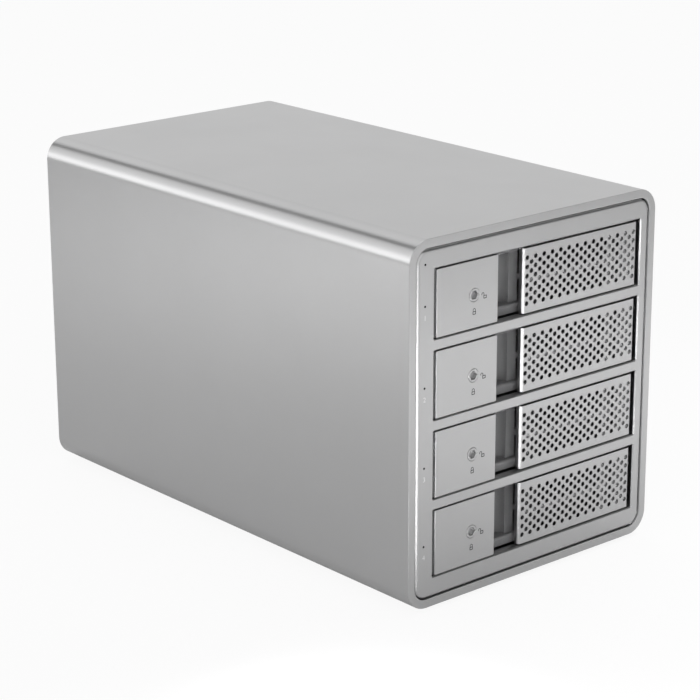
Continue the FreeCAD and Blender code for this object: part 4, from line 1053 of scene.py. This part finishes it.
def build_world(studio):
    """White all round, with a long soft light behind the left shoulder and a dim gap over the top."""
    world = bpy.data.worlds.new("Studio")
    bpy.context.scene.world = world
    world.use_nodes = True
    tree = world.node_tree
    tree.nodes.clear()
    links = tree.links
    place = add_node(tree, "ShaderNodeTexCoord").outputs["Generated"]
    axes = add_node(tree, "ShaderNodeSeparateXYZ")
    links.new(place, axes.inputs[0])
    x, _, z = axes.outputs
    level = studio.world_level
    across = maths(tree, "DIVIDE", x, maths(tree, "SQRT", maths(tree, "ADD", maths(tree, "MULTIPLY", x, x),
                                                              maths(tree, "MULTIPLY", z, z))))
    sides = ramp(tree, across, ((-1.0, studio.strip_level), (-0.96, studio.strip_level),
                                (-0.87, studio.strip_level * 0.6), (-0.45, level), (-0.39, studio.gap_level),
                                (-0.19, studio.gap_level), (-0.12, level * 1.1), (0.2, level * 1.1),
                                (0.6, level * 0.94), (0.85, level * 0.86), (1.0, level * 0.86)))
    behind = soft_mask(tree, place, (0.0, 1.0, 0.35), math.radians(80), math.radians(50))
    dim = soft_mask(tree, place, (0.62, -0.30, 0.72), math.radians(46), math.radians(28))
    around = mixed(tree, behind, level, sides)
    studio_level = mixed(tree, dim, around, studio.shade_level)
    path = add_node(tree, "ShaderNodeLightPath")
    seen = maths(tree, "MAXIMUM", path.outputs["Is Camera Ray"], path.outputs["Is Transmission Ray"])
    lights = add_node(tree, "ShaderNodeBackground")
    links.new(studio_level, lights.inputs["Strength"])
    white = add_node(tree, "ShaderNodeBackground")
    for node in (lights, white):
        node.inputs["Color"].default_value = (1.0, 1.0, 1.0, 1.0)
    mix = add_node(tree, "ShaderNodeMixShader")
    out = add_node(tree, "ShaderNodeOutputWorld")
    links.new(seen, mix.inputs[0])
    links.new(lights.outputs[0], mix.inputs[1])
    links.new(white.outputs[0], mix.inputs[2])
    links.new(mix.outputs[0], out.inputs["Surface"])


def add_lamp(name, place, target, size, power):
    lamp = bpy.data.lights.new(name, "AREA")
    lamp.shape = "RECTANGLE"
    lamp.size, lamp.size_y = size
    lamp.energy = power
    holder = bpy.data.objects.new(name, lamp)
    bpy.context.scene.collection.objects.link(holder)
    holder.location = place
    holder.rotation_euler = (Vector(target) - Vector(place)).to_track_quat("-Z", "Y").to_euler()
    return holder


def build_camera(studio):
    camera = bpy.data.cameras.new("Camera")
    camera.lens = studio.focal
    camera.sensor_width = 36.0
    camera.clip_start = 0.01
    holder = bpy.data.objects.new("Camera", camera)
    bpy.context.scene.collection.objects.link(holder)
    turn = (Matrix.Rotation(studio.azimuth, 4, "Z") @ Matrix.Rotation(0.5 * math.pi - studio.elevation, 4, "X")
            @ Matrix.Rotation(studio.roll, 4, "Z"))
    holder.matrix_world = Matrix.Translation(studio.camera_place) @ turn
    bpy.context.scene.camera = holder


class ENCLOSURE_PT_panel(bpy.types.Panel):
    """Lists the enclosure's pieces and their sizes"""
    bl_idname = "ENCLOSURE_PT_panel"
    bl_label = "Drive enclosure"
    bl_space_type = "VIEW_3D"
    bl_region_type = "UI"
    bl_category = "Enclosure"

    def draw(self, context):
        layout = self.layout
        for kind in OPERATORS:
            layout.operator(kind.bl_idname)
        for name in ("enclosure_shell", "enclosure_handle", "enclosure_lock", "enclosure_colours",
                     "enclosure_studio"):
            group = getattr(context.scene, name)
            column = layout.column(align=True)
            column.label(text=type(group).__doc__)
            for key in type(group).__annotations__:
                column.prop(group, key)


GROUPS = {"enclosure_shell": EnclosureShellSizes, "enclosure_handle": EnclosureHandleSizes,
          "enclosure_lock": EnclosureLockSizes, "enclosure_colours": EnclosureColours,
          "enclosure_studio": EnclosureStudio}
OPERATORS = (ENCLOSURE_OT_finishes, ENCLOSURE_OT_shell, ENCLOSURE_OT_handles, ENCLOSURE_OT_locks,
             ENCLOSURE_OT_screws, ENCLOSURE_OT_marks, ENCLOSURE_OT_stage)


def register():
    for kind in tuple(GROUPS.values()) + OPERATORS + (ENCLOSURE_PT_panel,):
        bpy.utils.register_class(kind)
    for name, group in GROUPS.items():
        setattr(bpy.types.Scene, name, bpy.props.PointerProperty(type=group))


def unregister():
    for name in GROUPS:
        delattr(bpy.types.Scene, name)
    for kind in reversed(tuple(GROUPS.values()) + OPERATORS + (ENCLOSURE_PT_panel,)):
        bpy.utils.unregister_class(kind)


def main():
    register()
    bpy.ops.enclosure.finishes()
    bpy.ops.enclosure.shell()
    bpy.ops.enclosure.handles()
    bpy.ops.enclosure.locks()
    bpy.ops.enclosure.screws()
    bpy.ops.enclosure.marks()
    bpy.ops.enclosure.stage()


if __name__ == "__main__":
    main()
